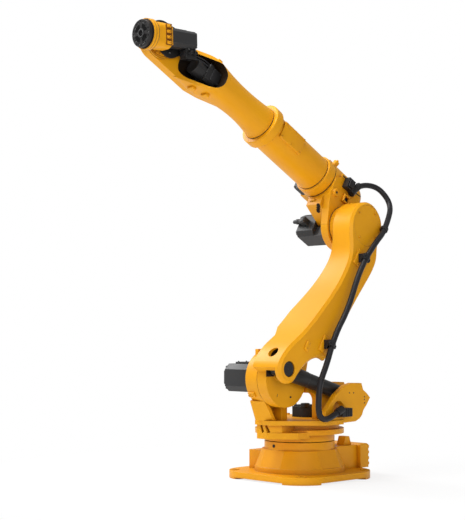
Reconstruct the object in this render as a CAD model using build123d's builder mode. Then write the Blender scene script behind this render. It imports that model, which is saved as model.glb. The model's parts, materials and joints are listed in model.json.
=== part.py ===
from build123d import *
import os
from math import cos, hypot, radians, sin

# A six-axis industrial robot arm with a long forearm and a counterbalance cylinder.
# Lengths are in millimetres. X points forward, Y to the side that carries the lower arm, Z up.
# The origin is on the first axis, at the floor. The arm is stored in the pose of the photograph.

# pose of the photograph, in degrees
lower_arm_lean = 32.0
forearm_rise = 28.8
tool_drop = 2.0

# axes of the arm
j2_forward = 335.0
j2_height = 630.0
lower_arm_length = 1125.0
elbow_offset = 250.0
forearm_length = 1690.0
tool_length = 205.0

# fits shared by several pieces
turning_gap = 5.0
pin_play = 0.3

# base
plate_side = 750.0
plate_corner = 210.0
plate_thick = 36.0
pad_height = 10.0
pad_radius = 118.0
base_bolt_spacing = 580.0
base_bolt_hole_radius = 13.0
base_band_radius = 283.0
base_band_height = 30.0
base_cone_radius = 279.0
base_cone_top_radius = 237.0
base_facet_reach = 266.0
base_facet_top_reach = 222.0
base_cone_top = 183.0
neck_radius = 221.0
neck_top = 232.0
base_spigot_radius = 120.0
base_spigot_rise = 58.0
rear_block_reach = 362.0
rear_block_width = 330.0
rear_block_top = 190.0
connector_box_depth = 78.0
connector_box_width = 390.0
connector_box_height = 152.0
connector_box_bevel = 8.0
connector_radius = 24.0
connector_depth = 16.0
connector_pitch = 92.0
side_box_length = 300.0
side_box_reach = 300.0
side_box_height = 118.0
side_cover_margin = 34.0
side_cover_thick = 8.0
stop_block_length = 74.0
stop_block_width = 60.0
stop_block_height = 55.0
stop_block_back = 352.0
stop_block_side = 96.0
stop_block_slope = 70.0

# turret
skirt_radius = 221.0
skirt_top = 282.0
lower_ring_radius = 280.0
lower_ring_top = 313.0
recess_radius = 252.0
recess_top = 350.0
deck_radius = 268.0
deck_top = 377.0
deck_front = 395.0
deck_side = 366.0
deck_lobe_length = 156.0
deck_lobe_slope = 120.0
turret_far_side = 0.0
j2_disc_radius = 170.0
j2_disc_inner = 30.0
j2_disc_outer = 127.0
pedestal_back = 214.0
pedestal_front = 420.0
pedestal_brow = 466.0
pedestal_near_front = 366.0
pedestal_near_brow = 440.0
pedestal_brow_drop = 134.0
pedestal_top_drop = 64.0
pedestal_wall = 26.0
pedestal_recess = 66.0
pedestal_rib = 52.0
pedestal_rib_back = 30.0
tongue_bottom = 264.0
tongue_step = 302.0
tongue_front = 378.0
tongue_near_side = 150.0
tongue_low_side = 226.0
tongue_corner = 62.0
tongue_back = 150.0
slot_width = 17.0
slot_depth = 22.0
slot_pitch = 42.0
slot_first = 44.0
slot_slope = 20.0
j2_spigot_radius = 70.0
j2_spigot_length = 46.0
turret_lug_length = 62.0
turret_lug_height = 34.0
turret_lug_thick = 26.0
turret_lug_hole_radius = 8.0

# counterbalance cylinder and its bracket plates
trunnion_back = 150.0
trunnion_drop = 115.0
trunnion_radius = 22.0
barrel_radius = 45.0
bore_radius = 37.0
barrel_mouth = 446.0
bore_depth = 262.0
barrel_eye_radius = 46.0
barrel_eye_width = 92.0
rod_radius = 20.0
rod_length = 300.0
rod_eye_radius = 41.0
rod_eye_width = 62.0
bracket_thick = 36.0
bracket_front = 155.0
bracket_length = 420.0
bracket_top_drop = 31.0
bracket_overhang = 9.0
bracket_edge_round = 3.0
bracket_arch_radius = 48.0
bracket_arch_forward = 34.0
bracket_arch_height = 444.0
inner_arch_radius = 50.0
inner_arch_forward = 125.0
inner_arch_height = 491.0
trunnion_end_cover = 14.0

# motors of the first three axes
j1_motor_size = 158.0
j1_motor_height = 66.0
j1_motor_back = 62.0
j2_motor_size = 172.0
j2_motor_corner = 34.0
j2_motor_length = 270.0
j2_cap_size = 112.0
j2_cap_length = 40.0
j2_lid_length = 150.0
j2_lid_width = 100.0
j2_lid_thick = 12.0
j3_motor_size = 172.0
j3_motor_corner = 28.0
j3_motor_length = 140.0
j3_neck_height = 68.0
j3_cap_size = 118.0
j3_cap_length = 34.0
j3_plug_size = 42.0
j3_plug_length = 46.0

# lower arm
arm_outer_side = 352.0
arm_wall = 35.0
arm_hub_width = 76.0
arm_hub_radius = 172.0
arm_belly_side = 90.0
arm_top_width = 152.0
arm_boss_radius = 150.0
lug_forward = 139.0
lug_drop = 10.0
lug_radius = 86.0
lug_bore_radius = 47.0
nose_floor = 47.0
pin_head_depth = 16.0
pin_head_inset = 12.0
pin_radius = 25.0
pin_seat_depth = 40.0
pocket_margin = 7.5
pocket_reach = 640.0
pocket_first_turn = 141.7
pocket_last_turn = 252.3
core_hole_radius = 35.0
core_hole_depth = 70.0
core_hole_rise = 58.0
core_hole_side = 250.0
arm_bevel = 16.0
j3_cover_radius = 133.0
j3_cover_thick = 6.0
j3_cover_inset = 9.0
j3_bore_radius = 60.0
j3_bore_depth = 70.0

# elbow housing, which carries the third and fourth axes
housing_front = 210.0
housing_radius = 136.0
housing_back = 122.0
housing_back_round = 84.0
housing_outer_side = 146.0
housing_hub_side = 90.0
housing_hub_radius = 152.0
housing_far_side = 30.0
housing_seat_rise = 55.0
j3_ring_radius = 134.0
j4_spigot_radius = 95.0
j4_spigot_length = 34.0
j4_motor_size = 84.0
j4_motor_length = 80.0
j4_motor_drop = 4.0
j4_mount_start = 20.0
j4_motor_start = 125.0
elbow_lug_length = 42.0
elbow_lug_height = 26.0
elbow_lug_thick = 30.0
elbow_lug_hole_radius = 8.0
elbow_lug_back = 30.0

# forearm
elbow_ring_radius = 134.0
elbow_ring_front = 281.0
tube_radius = 120.0
extension_ring_width = 62.0
extension_ring_radius = 142.0
ring_edge_round = 7.0
cone_back = 856.0
cone_back_radius = 112.0
waist_radius = 95.0
waist_back = 630.0
belly_back = 380.0
belly_side = 20.0
belly_drop = 8.0
belly_half_width = 125.0
belly_half_height = 113.0
belly_corner = 90.0
round_share = 0.97
cheek_far_side = 145.0
cheek_wall = 73.0
cheek_radius = 113.0
cheek_edge_round = 16.0
cheek_tail = 200.0
cheek_tail_half = 50.0
cheek_tail_side = 97.0
rim_back = 400.0
rim_front = 198.0
rim_near_side = 105.0
cavity_back = 428.0
cavity_front = 178.0
cavity_half_height = 90.0
cavity_floor = 34.0
cavity_corner = 84.0
j5_motor_size = 112.0
j5_motor_corner = 16.0
j5_motor_back = 404.0
j5_motor_length = 84.0
j5_gear_radius = 50.0
j5_gear_length = 74.0
j5_motor_side = 20.0
j5_pad_length = 60.0
j5_pad_width = 84.0

# wrist and tool flange
wrist_hub_radius = 112.0
wrist_hub_width = 7.0
wrist_spigot_radius = 52.0
wrist_spigot_length = 34.0
wrist_near_side = 66.0
wrist_half_height = 74.0
wrist_corner = 42.0
wrist_neck = 120.0
wrist_ring_back = 142.0
wrist_ring_front = 176.0
wrist_ring_radius = 90.0
wrist_collar_radius = 84.0
wrist_motor_face = 25.0
motor_plate_width = 120.0
motor_plate_height = 116.0
motor_plate_thick = 10.0
j6_motor_size = 104.0
j6_motor_corner = 18.0
j6_motor_length = 195.0
wrist_cover_radius = 96.0
wrist_cover_back = 60.0
wrist_cover_drop = 6.0
junction_length = 80.0
junction_width = 56.0
junction_height = 58.0
junction_back = 152.0
flange_radius = 80.0
flange_bore_radius = 18.0
flange_spigot_radius = 46.0
flange_spigot_length = 26.0
flange_bolt_circle = 125.0
flange_bolt_hole_radius = 5.0
flange_bolt_depth = 14.0
flange_bolt_count = 10
flange_edge_round = 2.0
kidney_radius = 39.0
kidney_width = 17.0
kidney_depth = 9.0
kidney_spoke = 27.0

# dress hose along the lower arm
hose_radius = 18.0
hose_gap = 28.0
clamp_foot = 54.0
anchor_length = 88.0
anchor_height = 52.0
anchor_fitting_radius = 24.0
anchor_fitting_length = 34.0
anchor_forward = 58.0
anchor_level = 425.0
hose_bracket_length = 60.0
hose_bracket_height = 70.0
hose_bracket_back = 75.0
hose_bracket_rise = 12.0
hose_bracket_gap = 26.0
hose_lead_run = 70.6
hose_lead_tilt = 21.0
bracket_fitting_length = 30.0
bracket_fitting_radius = 23.0
bend_share = 0.45
clamp_share = 0.5
clamp_cap_share = 0.55
elbow_run_share = 0.6
base_run_share = 0.3

# outlines as shares: the arm's of its length, forward of and up from the second axis
arm_front_shares = ((0.1422, 0.1840), (0.0649, 0.4258), (0.0222, 0.6747), (0.0391, 0.8000))
arm_rear_shares = (
    (-0.1698, 0.8889),
    (-0.1653, 0.7173),
    (-0.1333, 0.4880),
    (-0.1182, 0.3013),
    (-0.0933, 0.1724),
)
arm_arch_shares = ((-0.0400, 0.1582), (0.0267, 0.0667))
arm_hub_share = 0.191
arm_belly_shares = (0.258, 0.382)
arm_top_share = 0.889
hub_web_share = 0.267

# the bracket plates' outlines, as shares of their length back from the front and of their rise
bracket_lip_share = 0.381
outer_bracket_shares = (
    (0.000, 0.000),
    (0.000, 0.239),
    (0.233, 0.698),
    (0.436, 0.937),
    (0.595, 1.000),
    (0.805, 0.986),
    (0.843, 0.797),
    (0.921, 0.703),
    (1.000, 0.568),
    (0.919, 0.369),
    (0.845, 0.225),
    (0.814, 0.095),
    (0.762, 0.005),
    (0.667, -0.068),
    (bracket_lip_share, -0.086),
    (bracket_lip_share, 0.000),
)
inner_bracket_shares = (
    (0.000, 0.890),
    (0.155, 0.960),
    (0.595, 1.014),
    (0.805, 0.995),
    (0.881, 0.757),
    (0.940, 0.568),
    (0.845, 0.225),
    (0.750, 0.000),
)

# the elbow housing's web, as shares of its hub radius
web_far_shares = ((1.38, -1.316), (0.35, -1.645), (-0.263, -1.724), (-0.967, -1.316))
web_near_shares = ((1.38, -0.80), (0.92, -2.05), (-0.97, -1.90), (-0.80, -0.40))

# the hose's route, as shares of the arm's length forward of and up from the second axis,
# with the share of the way from the elbow's side to the arm's side
elbow_route_shares = (
    (-0.742, 0.14, 1.095),
    (-0.800, 0.38, 1.030),
    (-0.800, 0.55, 0.965),
    (-0.735, 0.75, 0.900),
    (-0.625, 0.95, 0.806),
)

# places that follow from the sizes and the pose
pedestal_brow_height = j2_height - pedestal_brow_drop
pedestal_top = j2_height - pedestal_top_drop
trunnion_height = j2_height - trunnion_drop
bracket_rise = j2_height - bracket_top_drop - deck_top
lean_cos = cos(radians(lower_arm_lean))
lean_sin = sin(radians(lower_arm_lean))
rise_cos = cos(radians(forearm_rise))
rise_sin = sin(radians(forearm_rise))
drop_cos = cos(radians(tool_drop))
drop_sin = sin(radians(tool_drop))
along_forearm = Vector(rise_cos, 0, rise_sin)
across_forearm = Vector(-rise_sin, 0, rise_cos)
along_tool = Vector(drop_cos, 0, -drop_sin)
j3_point = Vector(
    j2_forward - lower_arm_length * lean_sin, 0, j2_height + lower_arm_length * lean_cos
)
forearm_foot = j3_point + across_forearm * elbow_offset
j5_point = forearm_foot + along_forearm * forearm_length
pocket_side = arm_outer_side - arm_wall
pocket_radius = barrel_radius + pocket_margin
cylinder_side = pocket_side - pocket_radius
pocket_floor = cylinder_side - pocket_radius
pin_forward = j2_forward + lug_forward * lean_cos + lug_drop * lean_sin
pin_height = j2_height + lug_forward * lean_sin - lug_drop * lean_cos
cylinder_run = pin_forward + trunnion_back
cylinder_climb = pin_height - trunnion_height
cylinder_length = hypot(cylinder_run, cylinder_climb)
along_cylinder = Vector(cylinder_run / cylinder_length, 0, cylinder_climb / cylinder_length)
trunnion_point = Vector(-trunnion_back, cylinder_side, trunnion_height)
bracket_outer_side = arm_outer_side + bracket_overhang
bracket_inner_side = cylinder_side - barrel_eye_width / 2 - turning_gap
plate_top = pad_height + plate_thick
deck_lobe_back = bracket_lip_share * bracket_length - bracket_front
band_top = plate_top + base_band_height
arm_hub_side = j2_disc_outer + turning_gap
arm_hub_face = arm_hub_side + arm_hub_width
arm_top_side = arm_outer_side - arm_top_width
j3_ring_face = arm_top_side - turning_gap
cheek_face = cheek_wall - cheek_far_side
wrist_far_side = cheek_face + turning_gap
hose_side = arm_outer_side + hose_gap + hose_radius
hose_bracket_side = housing_outer_side + hose_bracket_gap
extension_ring_front = forearm_length - cone_back
extension_ring_back = extension_ring_front - extension_ring_width
waist = forearm_length - waist_back
belly = forearm_length - belly_back
rim_start = forearm_length - rim_back
rim_end = forearm_length - rim_front


# a sketch plane seen from the side: local x is forward, local y is up, extruding goes to -Y
def side_plane(y):
    return Plane(origin=(0, y, 0), x_dir=(1, 0, 0), z_dir=(0, -1, 0))


# the same, turned with the lower arm: local y runs up the arm from the second axis
def arm_plane(y):
    return Plane(
        origin=(j2_forward, y, j2_height), x_dir=(lean_cos, 0, lean_sin), z_dir=(0, -1, 0)
    )


# the lower arm seen from the front: local x is Y, local y runs up the arm
def arm_front_plane():
    return Plane(
        origin=(j2_forward, 0, j2_height), x_dir=(0, 1, 0), z_dir=(lean_cos, 0, lean_sin)
    )


# turned with the forearm: local x runs along it from the foot above the third axis
def forearm_plane(y):
    return Plane(origin=forearm_foot + Vector(0, y, 0), x_dir=along_forearm, z_dir=(0, -1, 0))


# a plane square to the forearm at a distance along it: local x is Y, local y is up
def forearm_section(distance):
    return Plane(
        origin=forearm_foot + along_forearm * distance, x_dir=(0, 1, 0), z_dir=along_forearm
    )


# the wrist seen from the side, and a plane square to the tool axis
def wrist_plane(y):
    return Plane(origin=j5_point + Vector(0, y, 0), x_dir=along_tool, z_dir=(0, -1, 0))


def wrist_section(distance):
    return Plane(origin=j5_point + along_tool * distance, x_dir=(0, 1, 0), z_dir=along_tool)


# the counterbalance cylinder, square to its axis, at a distance from the trunnion
def cylinder_section(distance):
    return Plane(
        origin=trunnion_point + along_cylinder * distance, x_dir=(0, 1, 0), z_dir=along_cylinder
    )


# points given as shares of one size
def shares_of(size, shares):
    return [(forward * size, up * size) for forward, up in shares]


# points of a bracket plate
def bracket_points(shares):
    return [
        (bracket_front - back * bracket_length, deck_top + up * bracket_rise) for back, up in shares
    ]


def save(piece, name):
    piece.part.label = name
    export_step(piece.part, "parts/" + name + ".step")


os.makedirs("parts", exist_ok=True)

# Base

with BuildPart() as base_casting:
    with BuildSketch(Plane.XY.offset(band_top)):
        Circle(base_cone_radius)
    with BuildSketch(Plane.XY.offset(base_cone_top)):
        Circle(base_cone_top_radius)
    loft()
    with BuildSketch(Plane.XY.offset(band_top)):
        Rectangle(2 * base_facet_reach, 2 * base_facet_reach)
    with BuildSketch(Plane.XY.offset(base_cone_top)):
        Rectangle(2 * base_facet_top_reach, 2 * base_facet_top_reach)
    loft(mode=Mode.INTERSECT)
    with BuildSketch(Plane.XY.offset(plate_top)):
        Circle(base_band_radius)
    extrude(amount=base_band_height)
    with BuildSketch(Plane.XY.offset(pad_height)):
        RectangleRounded(plate_side, plate_side, plate_corner)
    extrude(amount=plate_thick)
    with BuildSketch(Plane.XY):
        with GridLocations(base_bolt_spacing, base_bolt_spacing, 2, 2):
            Circle(pad_radius)
        RectangleRounded(plate_side, plate_side, plate_corner, mode=Mode.INTERSECT)
    extrude(amount=pad_height)
    with BuildSketch(Plane.XY.offset(base_cone_top)):
        Circle(neck_radius)
    extrude(amount=neck_top - base_cone_top)
    with BuildSketch(Plane.XY.offset(neck_top)):
        Circle(base_spigot_radius)
    extrude(amount=base_spigot_rise)
    with BuildSketch(Plane.XY.offset(plate_top)):
        with Locations((-rear_block_reach / 2, 0)):
            Rectangle(rear_block_reach, rear_block_width)
    extrude(amount=rear_block_top - plate_top)
    with BuildSketch(Plane.XY.offset(plate_top)):
        with Locations((0, -side_box_reach / 2)):
            Rectangle(side_box_length, side_box_reach)
    extrude(amount=side_box_height)
    with BuildSketch(Plane.XY):
        with GridLocations(base_bolt_spacing, base_bolt_spacing, 2, 2):
            Circle(base_bolt_hole_radius)
    extrude(amount=plate_top, mode=Mode.SUBTRACT)
save(base_casting, "base_casting")

with BuildPart() as base_connector_box:
    with BuildSketch(Plane.XY.offset(plate_top)):
        with Locations((-rear_block_reach - connector_box_depth / 2, 0)):
            Rectangle(connector_box_depth, connector_box_width)
    extrude(amount=connector_box_height)
    chamfer(base_connector_box.faces().sort_by(Axis.Z)[-1].edges(), connector_box_bevel)
save(base_connector_box, "base_connector_box")

with BuildPart() as base_connectors:
    with BuildSketch(
        Plane(
            origin=(-rear_block_reach - connector_box_depth, 0, plate_top + connector_box_height / 2),
            x_dir=(0, -1, 0),
            z_dir=(-1, 0, 0),
        )
    ):
        with GridLocations(connector_pitch, connector_pitch, 3, 1):
            Circle(connector_radius)
    extrude(amount=connector_depth)
save(base_connectors, "base_connectors")

with BuildPart() as base_side_cover:
    with BuildSketch(side_plane(-side_box_reach)):
        with Locations((0, plate_top + side_box_height / 2)):
            Rectangle(side_box_length - side_cover_margin, side_box_height - side_cover_margin)
    extrude(amount=side_cover_thick)
save(base_side_cover, "base_side_cover")

with BuildPart() as j1_stop_block:
    with BuildSketch(side_plane(stop_block_side + stop_block_width / 2)):
        with Locations((-stop_block_back + stop_block_length / 2, rear_block_top)):
            Trapezoid(
                stop_block_length,
                stop_block_height,
                stop_block_slope,
                align=(Align.CENTER, Align.MIN),
            )
    extrude(amount=stop_block_width)
save(j1_stop_block, "j1_stop_block")

# Turret, which turns on the base

with BuildPart() as turret_casting:
    with BuildSketch(side_plane(j2_disc_inner)):
        Polygon(
            (pedestal_back, deck_top),
            (pedestal_front, deck_top),
            (pedestal_brow, pedestal_brow_height),
            (j2_forward, pedestal_top),
            (pedestal_back, pedestal_top),
            align=None,
        )
    with BuildSketch(side_plane(j2_disc_outer)):
        Polygon(
            (pedestal_back, deck_top),
            (pedestal_near_front, deck_top),
            (pedestal_near_brow, pedestal_brow_height),
            (j2_forward, pedestal_top),
            (pedestal_back, pedestal_top),
            align=None,
        )
    loft(ruled=True)
    with BuildSketch(side_plane(j2_disc_outer)):
        Polygon(
            (pedestal_back, deck_top),
            (pedestal_near_front - pedestal_wall, deck_top),
            (pedestal_near_brow - pedestal_wall, pedestal_brow_height),
            (pedestal_back, pedestal_brow_height),
            align=None,
        )
        with Locations((pedestal_back + pedestal_rib_back, deck_top)):
            Rectangle(
                pedestal_rib,
                pedestal_brow_height - deck_top,
                align=(Align.MIN, Align.MIN),
                mode=Mode.SUBTRACT,
            )
    extrude(amount=pedestal_recess, mode=Mode.SUBTRACT)
    with BuildSketch(Plane.XY.offset(neck_top + turning_gap)):
        Circle(skirt_radius)
    extrude(amount=skirt_top - neck_top - turning_gap)
    with BuildSketch(Plane.XY.offset(skirt_top)):
        Circle(lower_ring_radius)
    extrude(amount=lower_ring_top - skirt_top)
    with BuildSketch(Plane.XY.offset(lower_ring_top)):
        Circle(recess_radius)
    extrude(amount=recess_top - lower_ring_top)
    with BuildSketch(Plane.XY.offset(recess_top)):
        Circle(deck_radius)
        Polygon(
            (0, turret_far_side),
            (deck_front, turret_far_side),
            (deck_front, j2_disc_outer),
            (deck_lobe_length, deck_side),
            (-deck_lobe_back, deck_side),
            (-deck_lobe_back, bracket_outer_side - bracket_thick),
            (-deck_lobe_slope, deck_radius - deck_lobe_slope / 2),
            (-deck_lobe_slope, turret_far_side),
            align=None,
        )
    extrude(amount=deck_top - recess_top)
    with BuildSketch(Plane.XY.offset(tongue_step)):
        Polygon(
            (tongue_back, turret_far_side),
            (tongue_front, turret_far_side),
            (tongue_front, tongue_near_side - tongue_corner),
            (tongue_front - tongue_corner, tongue_near_side),
            (tongue_back, tongue_near_side),
            align=None,
        )
    extrude(amount=recess_top - tongue_step)
    with BuildSketch(Plane.XY.offset(tongue_bottom)):
        Polygon(
            (tongue_back, turret_far_side),
            (tongue_front, turret_far_side),
            (tongue_front, tongue_near_side - tongue_corner),
            (tongue_front - 2 * tongue_corner, tongue_low_side),
            (tongue_back, tongue_low_side),
            align=None,
        )
    extrude(amount=tongue_step - tongue_bottom)
    with BuildSketch(
        Plane(origin=(tongue_front, turret_far_side, tongue_step), x_dir=(0, 1, 0), z_dir=(1, 0, 0))
    ):
        with Locations(
            Location((slot_first, (recess_top - tongue_step) / 2), slot_slope),
            Location((slot_first + slot_pitch, (recess_top - tongue_step) / 2), slot_slope),
        ):
            Rectangle(slot_width, recess_top - tongue_step)
    extrude(amount=-slot_depth, mode=Mode.SUBTRACT)
    with BuildSketch(side_plane(j2_disc_outer)):
        with Locations((j2_forward, j2_height)):
            Circle(j2_disc_radius)
    extrude(amount=j2_disc_outer - j2_disc_inner)
    with BuildSketch(side_plane(j2_disc_outer)):
        with Locations((j2_forward, j2_height)):
            Circle(j2_spigot_radius)
    extrude(amount=-j2_spigot_length)
    with BuildSketch(Plane.XY.offset(neck_top)):
        Circle(base_spigot_radius + pin_play)
    extrude(amount=base_spigot_rise + turning_gap, mode=Mode.SUBTRACT)
save(turret_casting, "turret_casting")

turret_lug_side = (j2_disc_outer + j2_disc_inner + turret_lug_thick) / 2
turret_lug_forward = j2_forward + j2_disc_radius * lean_sin
turret_lug_base = j2_height + j2_disc_radius * cos(radians(lower_arm_lean / 2))

with BuildPart() as turret_lug:
    with BuildSketch(side_plane(turret_lug_side)):
        with Locations((turret_lug_forward, turret_lug_base)):
            Rectangle(turret_lug_length, turret_lug_height)
        with Locations((j2_forward, j2_height)):
            Circle(j2_disc_radius, mode=Mode.SUBTRACT)
        with Locations((turret_lug_forward, turret_lug_base + turret_lug_hole_radius)):
            Circle(turret_lug_hole_radius, mode=Mode.SUBTRACT)
    extrude(amount=turret_lug_thick)
save(turret_lug, "turret_lug")

with BuildPart() as outer_bracket:
    with BuildSketch(side_plane(bracket_outer_side)):
        Polygon(*bracket_points(outer_bracket_shares), align=None)
        with Locations((bracket_arch_forward, bracket_arch_height)):
            Circle(bracket_arch_radius, mode=Mode.SUBTRACT)
    extrude(amount=bracket_thick)
    chamfer(outer_bracket.faces().sort_by(Axis.Y)[-1].edges(), bracket_edge_round)
    with BuildSketch(side_plane(bracket_outer_side - trunnion_end_cover)):
        with Locations((-trunnion_back, trunnion_height)):
            Circle(trunnion_radius + pin_play)
    extrude(amount=bracket_thick, mode=Mode.SUBTRACT)
save(outer_bracket, "outer_bracket")

with BuildPart() as inner_bracket:
    with BuildSketch(side_plane(bracket_inner_side)):
        Polygon(
            (inner_arch_forward - inner_arch_radius, deck_top),
            (inner_arch_forward - inner_arch_radius, inner_arch_height),
            (inner_arch_forward, inner_arch_height),
            (inner_arch_forward, inner_arch_height + inner_arch_radius),
            (bracket_front, inner_arch_height + inner_arch_radius),
            *bracket_points(inner_bracket_shares),
            align=None,
        )
        with Locations((inner_arch_forward, inner_arch_height)):
            Circle(inner_arch_radius, mode=Mode.SUBTRACT)
        with Locations((-trunnion_back, trunnion_height)):
            Circle(trunnion_radius + pin_play, mode=Mode.SUBTRACT)
    extrude(amount=bracket_thick)
save(inner_bracket, "inner_bracket")

with BuildPart() as trunnion_pin:
    with BuildSketch(side_plane(bracket_outer_side - trunnion_end_cover)):
        with Locations((-trunnion_back, trunnion_height)):
            Circle(trunnion_radius)
    extrude(amount=bracket_outer_side - trunnion_end_cover - bracket_inner_side + bracket_thick)
save(trunnion_pin, "trunnion_pin")

with BuildPart() as j1_motor:
    with BuildSketch(Plane.XY.offset(deck_top)) as s:
        with Locations((-j1_motor_back, 0)):
            Rectangle(j1_motor_size, j1_motor_size)
        chamfer(s.vertices(), j2_motor_corner)
    extrude(amount=j1_motor_height)
save(j1_motor, "j1_motor")

with BuildPart() as j2_motor:
    with BuildSketch(side_plane(j2_disc_inner)) as s:
        with Locations((j2_forward, j2_height)):
            Rectangle(j2_motor_size, j2_motor_size)
        chamfer(s.vertices(), j2_motor_corner)
    extrude(amount=j2_motor_length)
save(j2_motor, "j2_motor")

with BuildPart() as j2_encoder:
    with BuildSketch(side_plane(j2_disc_inner - j2_motor_length)) as s:
        with Locations((j2_forward, j2_height)):
            Rectangle(j2_cap_size, j2_cap_size)
        chamfer(s.vertices(), j2_motor_corner / 2)
    extrude(amount=j2_cap_length)
save(j2_encoder, "j2_encoder")

with BuildPart() as j2_lid:
    with BuildSketch(Plane.XY.offset(j2_height + j2_motor_size / 2)):
        with Locations((j2_forward, j2_disc_inner - j2_motor_length / 2)):
            Rectangle(j2_lid_width, j2_lid_length)
    extrude(amount=j2_lid_thick)
save(j2_lid, "j2_lid")

# Counterbalance cylinder

with BuildPart() as cylinder_barrel:
    with BuildSketch(side_plane(cylinder_side + barrel_eye_width / 2)):
        with Locations((-trunnion_back, trunnion_height)):
            Circle(barrel_eye_radius)
    extrude(amount=barrel_eye_width)
    with BuildSketch(cylinder_section(0)):
        Circle(barrel_radius)
    extrude(amount=barrel_mouth)
    with BuildSketch(cylinder_section(barrel_mouth - bore_depth)):
        Circle(bore_radius)
    extrude(amount=bore_depth, mode=Mode.SUBTRACT)
    with BuildSketch(side_plane(cylinder_side + barrel_eye_width)):
        with Locations((-trunnion_back, trunnion_height)):
            Circle(trunnion_radius + pin_play)
    extrude(amount=2 * barrel_eye_width, mode=Mode.SUBTRACT)
save(cylinder_barrel, "cylinder_barrel")

with BuildPart() as cylinder_rod:
    with BuildSketch(side_plane(cylinder_side + rod_eye_width / 2)):
        with Locations((pin_forward, pin_height)):
            Circle(rod_eye_radius)
    extrude(amount=rod_eye_width)
    with BuildSketch(cylinder_section(cylinder_length - rod_length)):
        Circle(rod_radius)
    extrude(amount=rod_length)
    with BuildSketch(side_plane(cylinder_side + rod_eye_width)):
        with Locations((pin_forward, pin_height)):
            Circle(pin_radius + pin_play)
    extrude(amount=2 * rod_eye_width, mode=Mode.SUBTRACT)
save(cylinder_rod, "cylinder_rod")

# Lower arm

pocket_pin = Vector(lug_forward, -lug_drop)
first_along = Vector(cos(radians(pocket_first_turn)), sin(radians(pocket_first_turn)))
first_edge = pocket_pin + Vector(first_along.Y, -first_along.X) * pocket_radius
last_along = Vector(cos(radians(pocket_last_turn)), sin(radians(pocket_last_turn)))
last_edge = pocket_pin + Vector(-last_along.Y, last_along.X) * pocket_radius
pocket_corners = [
    first_edge,
    first_edge + first_along * pocket_reach,
    last_edge + last_along * pocket_reach,
    last_edge,
]

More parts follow.
